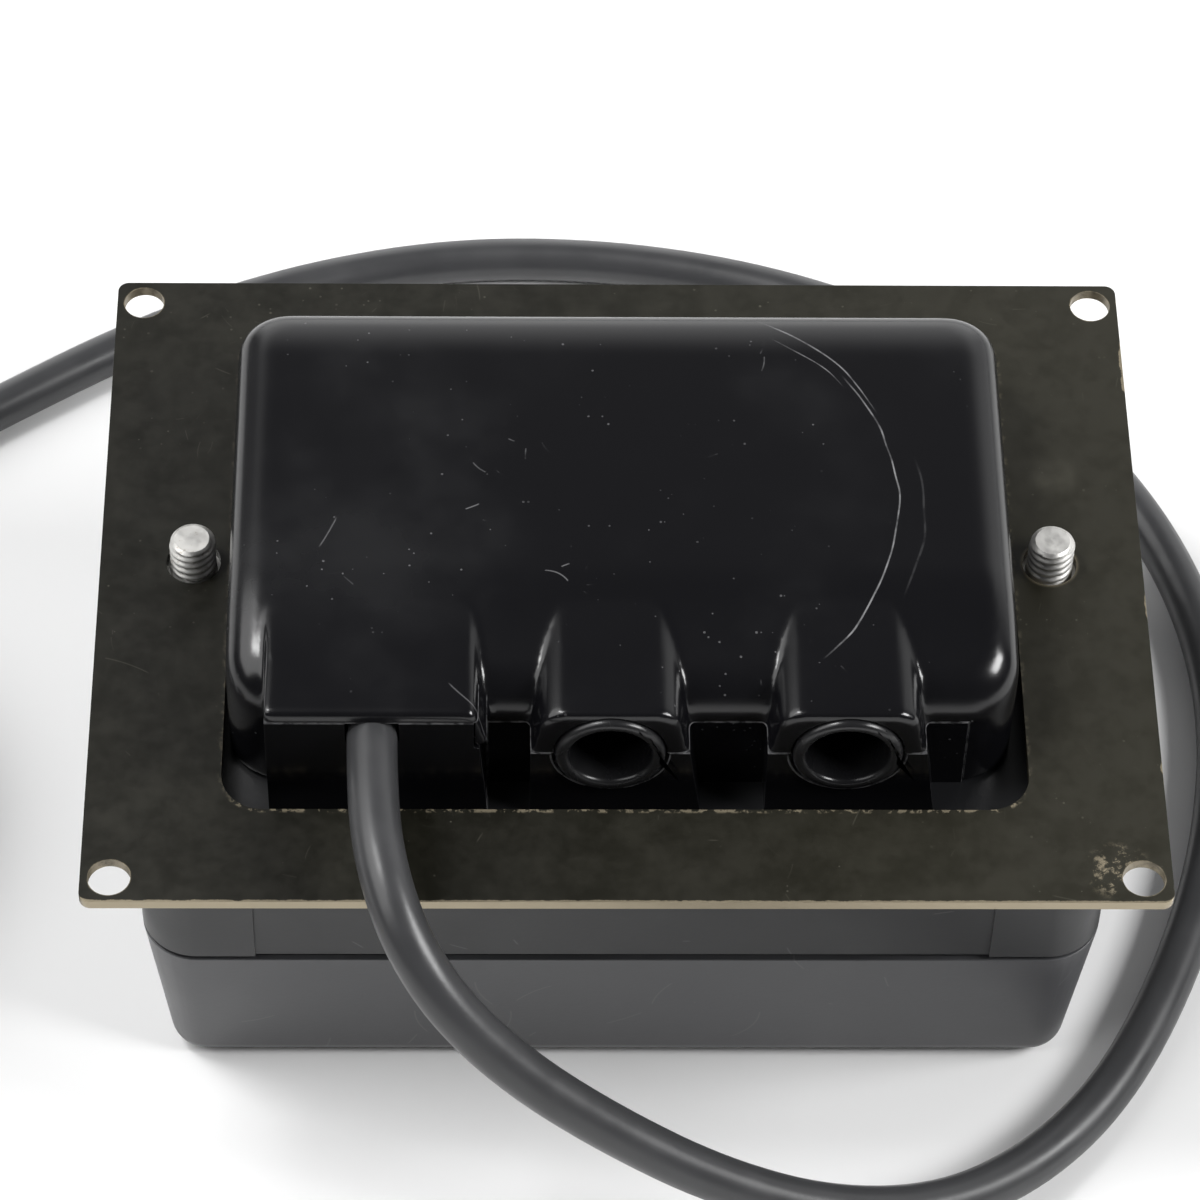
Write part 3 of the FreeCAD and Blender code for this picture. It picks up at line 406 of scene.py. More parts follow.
def scratchGroup():
    # one short, slightly bent scratch in each cell, at a chance angle
    group, entry, exit = newGroup(
        "scratches",
        [("Vector", "Vector", None), ("Scale", "Float", 60.0), ("Length", "Float", 0.35),
         ("Width", "Float", 0.012), ("Share", "Float", 0.5)],
        [("Mask", "Float")])
    scaled = addNode(group, "ShaderNodeVectorMath", {0: entry.outputs["Vector"]}, operation="SCALE")
    group.links.new(entry.outputs["Scale"], scaled.inputs["Scale"])
    cells = addNode(group, "ShaderNodeTexVoronoi",
                    {"Vector": scaled.outputs[0], "Scale": 1.0, "Randomness": 0.9}, voronoi_dimensions="2D")
    local = addNode(group, "ShaderNodeVectorMath", {0: scaled.outputs[0], 1: cells.outputs["Position"]},
                    operation="SUBTRACT")
    chance = addNode(group, "ShaderNodeSeparateColor", {"Color": cells.outputs["Color"]})
    angle = calc(group, "MULTIPLY", chance.outputs[0], 6.283)     # any way round
    turned = addNode(group, "ShaderNodeVectorRotate", {"Vector": local.outputs[0], "Angle": angle},
                     rotation_type="Z_AXIS")
    parts = addNode(group, "ShaderNodeSeparateXYZ", {0: turned.outputs[0]})
    bend = calc(group, "MULTIPLY", calc(group, "MULTIPLY", parts.outputs[0], parts.outputs[0]),
                calc(group, "SUBTRACT", chance.outputs[1], 0.5))
    across = calc(group, "ABSOLUTE", calc(group, "ADD", parts.outputs[1], bend))
    reach = calc(group, "MULTIPLY", entry.outputs["Length"], chance.outputs[1])
    along = calc(group, "ABSOLUTE", parts.outputs[0])
    thin = calc(group, "SUBTRACT", 1.0, calc(group, "DIVIDE", across, entry.outputs["Width"]), clamp=True)
    ends = calc(group, "MULTIPLY", calc(group, "SUBTRACT", reach, along), 20.0, clamp=True)
    there = calc(group, "LESS_THAN", chance.outputs[2], entry.outputs["Share"])
    mask = calc(group, "MULTIPLY", calc(group, "MULTIPLY", thin, ends), there)
    group.links.new(mask, exit.inputs["Mask"])
    return group


def frameEdgeGroup():
    # distance outwards from a rounded rectangle, in the level plane, in metres
    group, entry, exit = newGroup(
        "rectangleDistance",
        [("Vector", "Vector", None), ("Half X", "Float", 0.07), ("Half Y", "Float", 0.0525),
         ("Corner", "Float", 0.0015), ("Middle Y", "Float", 0.0)],
        [("Distance", "Float")])
    parts = addNode(group, "ShaderNodeSeparateXYZ", {0: entry.outputs["Vector"]})
    outX = calc(group, "ADD", calc(group, "SUBTRACT", calc(group, "ABSOLUTE", parts.outputs[0]),
                entry.outputs["Half X"]), entry.outputs["Corner"])
    shifted = calc(group, "SUBTRACT", parts.outputs[1], entry.outputs["Middle Y"])
    outY = calc(group, "ADD", calc(group, "SUBTRACT", calc(group, "ABSOLUTE", shifted),
                entry.outputs["Half Y"]), entry.outputs["Corner"])
    farX = calc(group, "MAXIMUM", outX, 0.0)
    farY = calc(group, "MAXIMUM", outY, 0.0)
    far = farFrom(group, farX, farY)
    near = calc(group, "MINIMUM", calc(group, "MAXIMUM", outX, outY), 0.0)
    total = calc(group, "SUBTRACT", calc(group, "ADD", far, near), entry.outputs["Corner"])
    group.links.new(total, exit.inputs["Distance"])
    return group


def dustGroup():
    # fine specks with a soft cloud that decides where they gather
    group, entry, exit = newGroup(
        "dust",
        [("Vector", "Vector", None), ("Scale", "Float", 900.0), ("Share", "Float", 0.2)],
        [("Mask", "Float")])
    scaled = addNode(group, "ShaderNodeVectorMath", {0: entry.outputs["Vector"]}, operation="SCALE")
    group.links.new(entry.outputs["Scale"], scaled.inputs["Scale"])
    cells = addNode(group, "ShaderNodeTexVoronoi", {"Vector": scaled.outputs[0], "Scale": 1.0})
    chance = addNode(group, "ShaderNodeSeparateColor", {"Color": cells.outputs["Color"]})
    size = calc(group, "MULTIPLY", chance.outputs[0], 0.22)
    speck = ramp(group, calc(group, "SUBTRACT", cells.outputs["Distance"], size), 0.0, 0.1, 1.0, 0.0)
    there = calc(group, "LESS_THAN", chance.outputs[1], entry.outputs["Share"])
    cloud = ramp(group, noise(group, entry.outputs["Vector"], 45.0, 4.0), 0.42, 0.62)
    mask = calc(group, "MULTIPLY", calc(group, "MULTIPLY", speck, there), cloud)
    group.links.new(mask, exit.inputs["Mask"])
    return group


scratches = scratchGroup()
rectangleDistance = frameEdgeGroup()
dust = dustGroup()


def scratchMask(tree, where, scale, length, width, share):
    values = {"Vector": where, "Scale": scale, "Length": length, "Width": width, "Share": share}
    return placeGroup(tree, scratches, values).outputs[0]


def newMaterial(name, **plain):
    material = bpy.data.materials.new(name)
    material.use_nodes = True
    tree = material.node_tree
    shader = tree.nodes["Principled BSDF"]
    for key, value in plain.items():
        shader.inputs[key.replace("_", " ")].default_value = value
    where = addNode(tree, "ShaderNodeTexCoord").outputs["Object"]
    return material, tree, shader, where


def feed(tree, shader, **sockets):
    for key, value in sockets.items():
        tree.links.new(value, shader.inputs[key.replace("_", " ")])


def bumpFrom(tree, height, strength, depth):
    made = addNode(tree, "ShaderNodeBump", {"Height": height, "Strength": strength, "Distance": depth})
    return made.outputs[0]


def simpleFinish(name, color, second, roughness, grain=600.0, depth=0.00002, metallic=0.0, cloud=60.0,
                 spread=0.12, **plain):
    # two close tones in clouds, uneven roughness and a fine grain
    material, tree, shader, where = newMaterial(name, Metallic=metallic, **plain)
    tone = noise(tree, where, cloud, 4.0)
    feed(tree, shader, Base_Color=blendColor(tree, ramp(tree, tone, 0.35, 0.65), (*color, 1), (*second, 1)))
    uneven = noise(tree, where, cloud * 2.3, 3.0)
    feed(tree, shader, Roughness=ramp(tree, uneven, 0.3, 0.7, roughness - spread / 2, roughness + spread / 2))
    feed(tree, shader, Normal=bumpFrom(tree, noise(tree, where, grain, 2.0), 0.5, depth))
    return material


def paint(piece, material):
    piece.data.materials.clear()
    piece.data.materials.append(material)
    return piece


# ---- finishes ----

gloss = {
    "color": (0.0042, 0.0042, 0.0052, 1),
    "haze": (0.0060, 0.0061, 0.0072, 1),
    "mark": (0.34, 0.34, 0.35, 1),
    "roughness": (0.20, 0.30),
    "seam": 63.2, "slabSeam": 69.5, "seamEnds": (-46.55, -18.0, 44.25),
    "rings": (-2.2, 28.3), "ringRadius": 7.6,
    "wallFront": (-29.0, -28.6),    # the seam's dust ends behind the front of the lower wall
    # middle x and y, radius, growth per radian, half width, angle from and to, strength
    "arcs": (
        (0.6, -2.3, 35.3, 1.6, 0.17, -45.0, 40.0, 1.0),
        (0.6, -2.3, 35.6, 2.4, 0.15, 26.0, 63.0, 0.8),
        (0.6, -2.3, 34.1, 2.0, 0.12, 36.0, 58.0, 0.7),
        (3.2, -2.3, 36.2, 0.6, 0.22, -24.0, 16.0, 0.12),
    ),
    # middle x and y, and radius, of the places with fine marks
    "scuffs": (
        (-17.0, 8.0, 7.5), (-21.0, -1.5, 4.0), (13.5, 8.0, 3.6), (27.0, 14.0, 6.0), (25.0, -26.5, 4.0),
        (-37.0, -19.0, 7.0), (18.0, 26.0, 5.0), (-8.0, -12.0, 5.0),
    ),
}


def nearPlace(tree, parts, x, y, radius):
    # one at a place on the level plane, falling to zero at the radius
    across = calc(tree, "SUBTRACT", parts.outputs[0], x * mm)
    along = calc(tree, "SUBTRACT", parts.outputs[1], y * mm)
    far = farFrom(tree, across, along)
    return ramp(tree, far, radius * 0.3 * mm, radius * mm, 1.0, 0.0)


def arcMask(tree, parts, arc, wobble):
    # a thin curved line, a little wavy, that fades at both ends
    x, y, radius, growth, half, start, end, strength = arc
    across = calc(tree, "SUBTRACT", parts.outputs[0], x * mm)
    along = calc(tree, "SUBTRACT", parts.outputs[1], y * mm)
    far = farFrom(tree, across, along)
    angle = calc(tree, "ARCTAN2", along, across)
    wanted = calc(tree, "ADD", radius * mm, calc(tree, "MULTIPLY", angle, growth * mm))
    off = calc(tree, "ABSOLUTE", calc(tree, "ADD", calc(tree, "SUBTRACT", far, wanted), wobble))
    line = ramp(tree, off, half * 0.2 * mm, half * mm, strength, 0.0)
    after = ramp(tree, angle, math.radians(start), math.radians(start + 8))
    before = ramp(tree, angle, math.radians(end - 8), math.radians(end), 1.0, 0.0)
    return calc(tree, "MULTIPLY", line, calc(tree, "MULTIPLY", after, before))


def partingDust(tree, parts, where):
    # pale dust caught in the seam between cover and lower wall, and round the lower half of each grommet
    crumbs = ramp(tree, noise(tree, where, 700.0, 4.0, 0.65), 0.36, 0.62, 0.15, 1.0)
    left, step, right = gloss["seamEnds"]
    climb = (gloss["slabSeam"] - gloss["seam"]) * mm
    raised = calc(tree, "MULTIPLY", calc(tree, "LESS_THAN", parts.outputs[0], step * mm), climb)
    level = calc(tree, "SUBTRACT", parts.outputs[2], calc(tree, "ADD", raised, gloss["seam"] * mm))
    inside = calc(tree, "MULTIPLY", calc(tree, "GREATER_THAN", parts.outputs[0], left * mm),
                  calc(tree, "LESS_THAN", parts.outputs[0], right * mm))
    seam = calc(tree, "MULTIPLY", ramp(tree, calc(tree, "ABSOLUTE", level), 0.00010, 0.00024, 0.8, 0.0),
                inside)
    for x in gloss["seamEnds"]:
        aside = calc(tree, "ABSOLUTE", calc(tree, "SUBTRACT", parts.outputs[0], x * mm))
        upright = calc(tree, "MULTIPLY", ramp(tree, aside, 0.00006, 0.0002, 0.5, 0.0),
                       calc(tree, "LESS_THAN", level, 0.0))
        seam = calc(tree, "MAXIMUM", seam, upright)
    for x in gloss["rings"]:
        across = calc(tree, "SUBTRACT", parts.outputs[0], x * mm)
        rise = calc(tree, "SUBTRACT", parts.outputs[2], gloss["seam"] * mm)
        far = farFrom(tree, across, rise)
        off = calc(tree, "ABSOLUTE", calc(tree, "SUBTRACT", far, gloss["ringRadius"] * mm))
        ring = calc(tree, "MULTIPLY", ramp(tree, off, 0.00010, 0.00030, 0.7, 0.0),
                    ramp(tree, rise, -0.001, 0.0, 1.0, 0.0))
        seam = calc(tree, "MAXIMUM", seam, ring)
    front, behind = gloss["wallFront"]
    outside = ramp(tree, parts.outputs[1], front * mm, behind * mm, 1.0, 0.0)
    return calc(tree, "MULTIPLY", calc(tree, "MULTIPLY", seam, crumbs), outside)


def coverGloss():
    material, tree, shader, where = newMaterial("blackGloss")
    parts = addNode(tree, "ShaderNodeSeparateXYZ", {0: where})
    few = scratchMask(tree, where, 70.0, 0.3, 0.010, 0.08)
    fine = scratchMask(tree, where, 330.0, 0.6, 0.045, 0.42)
    places = None
    for x, y, radius in gloss["scuffs"]:
        place = nearPlace(tree, parts, x, y, radius)
        places = place if places is None else calc(tree, "MAXIMUM", places, place)
    patches = calc(tree, "MULTIPLY", places, ramp(tree, noise(tree, where, 150.0, 4.0), 0.44, 0.60))
    thin = calc(tree, "MULTIPLY", fine, patches)
    wave = calc(tree, "SUBTRACT", noise(tree, where, 60.0, 2.0, 0.4), 0.5)
    wobble = calc(tree, "MULTIPLY", wave, 0.0034)
    broken = ramp(tree, noise(tree, where, 330.0, 3.0), 0.30, 0.62, 0.22, 1.0)
    marks = calc(tree, "ADD", calc(tree, "MULTIPLY", few, 0.4), calc(tree, "MULTIPLY", thin, 0.6))
    for arc in gloss["arcs"]:
        line = calc(tree, "MULTIPLY", arcMask(tree, parts, arc, wobble), broken)
        marks = calc(tree, "MAXIMUM", marks, line)
    marks = calc(tree, "MAXIMUM", marks, partingDust(tree, parts, where))
    specks = placeGroup(tree, dust, {"Vector": where, "Scale": 1500.0, "Share": 0.05}).outputs[0]
    marks = calc(tree, "MINIMUM", calc(tree, "ADD", marks, calc(tree, "MULTIPLY", specks, 0.35)), 1.0)
    haze = ramp(tree, noise(tree, where, 22.0, 5.0, 0.6), 0.38, 0.72)
    ground = blendColor(tree, haze, gloss["color"], gloss["haze"])
    shade = calc(tree, "MULTIPLY", marks, 0.6)
    low, high = gloss["roughness"]
    rough = calc(tree, "ADD", ramp(tree, haze, 0.0, 1.0, low, high), calc(tree, "MULTIPLY", marks, 0.3))
    feed(tree, shader, Base_Color=blendColor(tree, shade, ground, gloss["mark"]), Roughness=rough)
    ripple = noise(tree, where, 55.0, 2.0)
    height = calc(tree, "SUBTRACT", calc(tree, "MULTIPLY", ripple, 0.35), calc(tree, "MULTIPLY", marks, 0.4))
    feed(tree, shader, Normal=bumpFrom(tree, height, 0.35, 0.00006))
    return material


plateLook = {
    "coat": (0.0066, 0.0063, 0.0038, 1),
    "coatLight": (0.0210, 0.0196, 0.0132, 1),
    "bare": (0.36, 0.31, 0.22, 1),
    "rub": (0.10, 0.095, 0.075, 1),
    "holes": (66.25, 48.75, 2.75),
    "scuff": (63.0, -47.6, 5.0),    # worn patch beside the front right hole
    "ring": (57.5, 2.6, 4.1),       # bare ring round the right screw
    "smear": (59.0, 18.0, 4.5),
    "outline": (70.0, 52.5, 1.5, 0.0),      # half width, half depth, corner, middle y
    "opening": (52.5, 40.6, 5.5, 2.6),
}


def edgeDistance(tree, where, outline):
    sides = dict(zip(("Half X", "Half Y", "Corner", "Middle Y"), (value * mm for value in outline)))
    return placeGroup(tree, rectangleDistance, {"Vector": where, **sides}).outputs[0]


def plateFinish():
    material, tree, shader, where = newMaterial("oliveBronze", Specular_IOR_Level=0.3)
    parts = addNode(tree, "ShaderNodeSeparateXYZ", {0: where})
    rim = edgeDistance(tree, where, plateLook["outline"])
    opening = edgeDistance(tree, where, plateLook["opening"])
    holeX, holeY, holeRadius = plateLook["holes"]
    fromX = calc(tree, "SUBTRACT", calc(tree, "ABSOLUTE", parts.outputs[0]), holeX * mm)
    fromY = calc(tree, "SUBTRACT", calc(tree, "ABSOLUTE", parts.outputs[1]), holeY * mm)
    hole = calc(tree, "SUBTRACT", farFrom(tree, fromX, fromY), holeRadius * mm)
    ragged = noise(tree, where, 520.0, 5.0, 0.7)
    patchy = noise(tree, where, 95.0, 3.0)
    # the front edge is rubbed bare, the right edge is chipped, the others are nearly whole
    front = ramp(tree, parts.outputs[1], -0.0523, -0.0514, 1.0, 0.0)
    right = ramp(tree, parts.outputs[0], 0.0688, 0.0697, 0.0, 1.0)
    chips = ramp(tree, patchy, 0.50, 0.66)
    share = calc(tree, "MAXIMUM", calc(tree, "MULTIPLY", front, 0.75),
                 calc(tree, "MULTIPLY", calc(tree, "MULTIPLY", right, chips), 0.9))
    share = calc(tree, "MAXIMUM", share, calc(tree, "MULTIPLY", chips, 0.12))
    reach = calc(tree, "MULTIPLY", share, calc(tree, "MULTIPLY", ragged, 0.0010))
    rimMask = ramp(tree, calc(tree, "ADD", rim, reach), 0.00002, 0.00022)
    openingFront = ramp(tree, parts.outputs[1], -0.0372, -0.0362, 1.0, 0.12)
    flecks = ramp(tree, noise(tree, where, 900.0, 3.0, 0.6), 0.50, 0.62)
    openingMask = calc(tree, "MULTIPLY", ramp(tree, opening, 0.0001, 0.0007, 1.0, 0.0),
                       calc(tree, "MULTIPLY", openingFront, flecks))
    holeWear = calc(tree, "SUBTRACT", calc(tree, "MULTIPLY", ragged, 0.0005), hole)
    holeMask = calc(tree, "MULTIPLY", ramp(tree, holeWear, 0.0001, 0.0003), 0.7)
    x, y, radius = plateLook["scuff"]
    scuff = calc(tree, "MULTIPLY", nearPlace(tree, parts, x, y, radius),
                 ramp(tree, noise(tree, where, 520.0, 5.0, 0.75), 0.52, 0.66))
    x, y, radius = plateLook["ring"]
    ring = calc(tree, "MULTIPLY", ramp(tree, nearPlace(tree, parts, x, y, radius * 1.25), 0.18, 0.5), 0.55)
    x, y, radius = plateLook["smear"]
    smear = calc(tree, "MULTIPLY", nearPlace(tree, parts, x, y, radius),
                 ramp(tree, patchy, 0.4, 0.6, 0.1, 0.35))
    few = scratchMask(tree, where, 90.0, 0.45, 0.012, 0.16)
    fine = scratchMask(tree, where, 300.0, 0.6, 0.03, 0.35)
    worn = calc(tree, "MULTIPLY", ramp(tree, patchy, 0.5, 0.7), 0.25)
    lines = calc(tree, "MAXIMUM", calc(tree, "MULTIPLY", few, 0.30), calc(tree, "MULTIPLY", fine, worn))
    bare = rimMask
    for mask in (openingMask, holeMask, scuff, ring):
        bare = calc(tree, "MAXIMUM", bare, mask)
    mottle = noise(tree, where, 210.0, 6.0, 0.7)
    # the coat is painted lighter towards its right end, a painted light gradient for how the lamps fall
    # across the plate
    paintedLightToRight = ramp(tree, parts.outputs[0], -0.03, 0.07, 0.0, 0.75)
    tone = calc(tree, "ADD", calc(tree, "MULTIPLY", ramp(tree, mottle, 0.3, 0.75), 0.45), paintedLightToRight, clamp=True)
    coat = blendColor(tree, tone, plateLook["coat"], plateLook["coatLight"])
    specks = placeGroup(tree, dust, {"Vector": where, "Scale": 1300.0, "Share": 0.08}).outputs[0]
    rubs = calc(tree, "MAXIMUM", calc(tree, "MAXIMUM", lines, smear), calc(tree, "MULTIPLY", specks, 0.5))
    rubbed = blendColor(tree, rubs, coat, plateLook["rub"])
    rough = calc(tree, "SUBTRACT", ramp(tree, mottle, 0.3, 0.7, 0.36, 0.46),
                 calc(tree, "MULTIPLY", bare, 0.08))
    feed(tree, shader, Base_Color=blendColor(tree, bare, rubbed, plateLook["bare"]), Roughness=rough,
         Metallic=calc(tree, "MULTIPLY", bare, 0.7))
    height = calc(tree, "SUBTRACT", calc(tree, "MULTIPLY", noise(tree, where, 1300.0, 3.0), 0.4),
                  calc(tree, "ADD", calc(tree, "MULTIPLY", bare, 0.5), calc(tree, "MULTIPLY", lines, 0.4)))
    feed(tree, shader, Normal=bumpFrom(tree, height, 0.35, 0.00004))
    return material


def housingSatin(name, first, second):
    material, tree, shader, where = newMaterial(name)
    tone = ramp(tree, noise(tree, where, 30.0, 4.0), 0.35, 0.7)
    # the scratches lie on the upright walls, so they are laid out on X and Z
    upright = addNode(tree, "ShaderNodeMapping", {"Vector": where, "Rotation": (math.radians(90), 0, 0)})
    scuffs = calc(tree, "MULTIPLY", scratchMask(tree, upright.outputs[0], 120.0, 0.5, 0.02, 0.2), 0.25)
    ground = blendColor(tree, tone, first, second)
    feed(tree, shader, Base_Color=blendColor(tree, scuffs, ground, (0.2, 0.2, 0.2, 1)),
         Roughness=ramp(tree, tone, 0.0, 1.0, 0.30, 0.44))
    grain = noise(tree, where, 1500.0, 2.0)
    feed(tree, shader, Normal=bumpFrom(tree, grain, 0.3, 0.00003))
    return material


def zincSteel(name, tarnish):
    material, tree, shader, where = newMaterial(name, Metallic=1.0)
    # the more tarnish, the more of the noise becomes a brown spot
    spots = ramp(tree, noise(tree, where, 700.0, 5.0, 0.7), 0.64 - 0.14 * tarnish, 0.80 - 0.12 * tarnish,
                 0.0, 0.8)
    feed(tree, shader, Base_Color=blendColor(tree, spots, (0.84, 0.83, 0.80, 1), (0.34, 0.27, 0.20, 1)))
    feed(tree, shader, Roughness=ramp(tree, noise(tree, where, 500.0, 4.0), 0.3, 0.7, 0.36, 0.52))
    feed(tree, shader, Normal=bumpFrom(tree, noise(tree, where, 2500.0, 3.0), 0.3, 0.00002))
    return material


finishes = {
    "gloss": coverGloss(),
    "plate": plateFinish(),
    # band and tray are one dark satin plastic: the band is painted darker as painted shade under the plate's
    # overhang, the tray painted lighter as painted light from the floor it faces
    "band": housingSatin("bandSatinPaintedShade", (0.0090, 0.0092, 0.0102, 1), (0.0135, 0.0138, 0.0150, 1)),
    "tray": housingSatin("traySatinPaintedLight", (0.0500, 0.0505, 0.0540, 1), (0.0640, 0.0645, 0.0690, 1)),
    "screw": zincSteel("brightZinc", 0.1),
    "oldScrew": zincSteel("tarnishedZinc", 0.6),
    "grommet": simpleFinish("grommetRubber", (0.008, 0.008, 0.009),
                            (0.014, 0.014, 0.015), 0.26, 900.0, 0.00001),
    "cord": simpleFinish("cordRubber", (0.0380, 0.0385, 0.0405),
                         (0.0450, 0.0455, 0.0480), 0.35, 1600.0, 0.00002),
    "seal": simpleFinish("sealFoam", (0.010, 0.010, 0.010), (0.02, 0.02, 0.02), 0.85, 1200.0, 0.00008),
    "brass": simpleFinish("contactBrass", (0.70, 0.55, 0.26), (0.56, 0.42, 0.2), 0.26, 900.0, 0.00001, 1.0),
    "darkPlastic": simpleFinish("darkPlastic", (0.02, 0.02, 0.022),
                                (0.03, 0.03, 0.032), 0.5, 1100.0, 0.00003),
    "greyPlastic": simpleFinish("greyPlastic", (0.30, 0.30, 0.29), (0.36, 0.36, 0.35), 0.42, 1100.0, 0.00002),
    "board": simpleFinish("boardLacquer", (0.012, 0.10, 0.035),
                          (0.018, 0.13, 0.05), 0.32, 700.0, 0.00003, 0.0, 240.0),
    "terminal": simpleFinish("terminalGreen", (0.02, 0.16, 0.06), (0.03, 0.2, 0.08), 0.45, 900.0, 0.00002),
    "wire": simpleFinish("wireJacket", (0.06, 0.09, 0.3), (0.08, 0.11, 0.34), 0.35, 900.0, 0.00001),
    "chip": simpleFinish("chipEpoxy", (0.012, 0.012, 0.013), (0.022, 0.022, 0.023), 0.6, 1500.0, 0.00003),
    "core": simpleFinish("coreSteel", (0.10, 0.10, 0.11), (0.17, 0.16, 0.16), 0.45, 500.0, 0.00004, 0.8),
    "winding": simpleFinish("windingTape", (0.42, 0.24, 0.06), (0.5, 0.3, 0.09), 0.4, 1300.0, 0.00004),
    "copper": simpleFinish("bareCopper", (0.72, 0.34, 0.2), (0.6, 0.28, 0.16), 0.3, 900.0, 0.00001, 1.0),
    "sleeve": simpleFinish("capacitorSleeve", (0.02, 0.03, 0.11), (0.03, 0.04, 0.15), 0.3, 800.0, 0.00001),
    "ceramic": simpleFinish("dippedCeramic", (0.03, 0.1, 0.32), (0.04, 0.13, 0.38), 0.35, 800.0, 0.00003),
    "clear": simpleFinish("clearPlastic", (0.85, 0.88, 0.88), (0.9, 0.92, 0.92), 0.12, 500.0, 0.00001,
                          Transmission_Weight=0.9, IOR=1.49),
}
print("finishes mixed")

paint(cord, finishes["cord"])


# ---- rear cover ----

coverSetup = {
    "left": -51.9, "right": 50.9, "front": -30.0, "back": 35.2,
    "bottom": 50.0, "top": 72.0,
    "corner": 7.0, "edge": 4.8, "wall": 1.8,
    "frontFall": (-11.0, 17.0, 3.0),   # where the top starts to fall, over what length, how far
    "backFall": (25.0, 10.2, 1.5),
    "ribFall": (-14.0, 21.0, 0.45),
    "fallDepth": 15.0, "fallReach": 10.0,   # how far down the walls follow the top, and how softly
    "ribReach": 5.0,
    "entryFront": -35.0,
    "saddleTop": 71.7, "saddleHalf": 10.4, "saddleTopHalf": 8.7, "saddleRound": 2.9,
    "saddles": (-2.2, 28.3),
    "parting": 63.2,
    "slab": (-46.4, -19.6), "slabBottom": 69.5, "slabRound": 0.9,
    "tongue": (-17.8, 64.4),           # right side and lower end
    "notch": (-46.6, 44.3),
    "voxel": 0.45, "roughVoxel": 0.8,
    "grommetHole": 6.35, "grommetSeat": 7.4, "seatDepth": 1.6,
}


def fall(value, start, length, depth):
    # a slope that starts gently
    return depth * max(value - start, 0.0) ** 2 / length ** 2


def lowerTop(piece, front, back, level, reach):
    # the top sinks towards its front and its back, and the walls below stay
    for vertex in piece.data.vertices:
        x, y, z = vertex.co / mm
        share = min(max((z - level) / reach, 0.0), 1.0)
        start, length, depth = front
        drop = fall(-y, -start, length, depth)
        if back:
            drop += fall(y, *back)
        vertex.co.z -= drop * share * mm
    piece.data.update()
    return piece


def domedBlock(name, low, high, corner, edge):
    setup = coverSetup
    piece = block(name, low, high)
    roundEdges(piece, corner, 10, lambda middle, way: abs(way.z) > 0.9)
    roundEdges(piece, edge, 8, lambda middle, way: abs(middle.z - high[2]) < 0.01)
    modify(piece, "REMESH", mode="VOXEL", voxel_size=setup["roughVoxel"] * mm, adaptivity=0.0)
    return lowerTop(piece, setup["frontFall"], setup["backFall"], high[2] - setup["fallDepth"],
                    setup["fallReach"])


def taperTop(piece, level, shifts):
    # moves the sides of the upper face, by the side they are on
    middle = sum(vertex.co.x for vertex in piece.data.vertices) / len(piece.data.vertices)
    for vertex in piece.data.vertices:
        if abs(vertex.co.z / mm - level) < 0.01:
            vertex.co.x += shifts[0 if vertex.co.x < middle else 1] * mm
    piece.data.update()
    return piece


def entryRib(x):
    # the raised rib over one cable entry: it narrows upwards and its long top edges are rounded
    setup = coverSetup
    top, half, front = setup["saddleTop"], setup["saddleHalf"], setup["entryFront"]
    parting = setup["parting"]
    rib = block("rib", (x - half, front, parting - 3), (x + half, setup["front"] + 24, top))
    inwards = half - setup["saddleTopHalf"]
    taperTop(rib, top, (inwards, -inwards))
    roundEdges(rib, setup["saddleRound"], 8,
               lambda middle, way: abs(middle.z - top) < 0.01 and abs(way.y) > 0.9)
    roundEdges(rib, 0.4, 3, lambda middle, way: abs(middle.y - front) < 0.01 and middle.z > parting + 1)
    foot = block("foot", (x - half, front, setup["bottom"] + 2), (x + half, setup["front"] + 8, parting))
    return combine(rib, foot, "UNION")


def entrySlab():
    # the flat slab over the fitted cord, with a sloping right side that ends in a tongue
    setup = coverSetup
    left, right = setup["slab"]
    tongueRight, tongueLow = setup["tongue"]
    top = setup["saddleTop"]
    slab = block("slab", (left, setup["entryFront"], tongueLow), (tongueRight, setup["front"] + 24, top))
    taperTop(slab, top, (0.0, right - tongueRight))
    roundEdges(slab, setup["slabRound"], 4,
               lambda middle, way: abs(middle.z - top) < 0.01 and middle.x > left + 1)
    roundEdges(slab, 0.7, 3, lambda middle, way: abs(middle.z - tongueLow) < 0.01 and abs(way.y) > 0.9
               and middle.x > tongueRight - 1)
    return slab


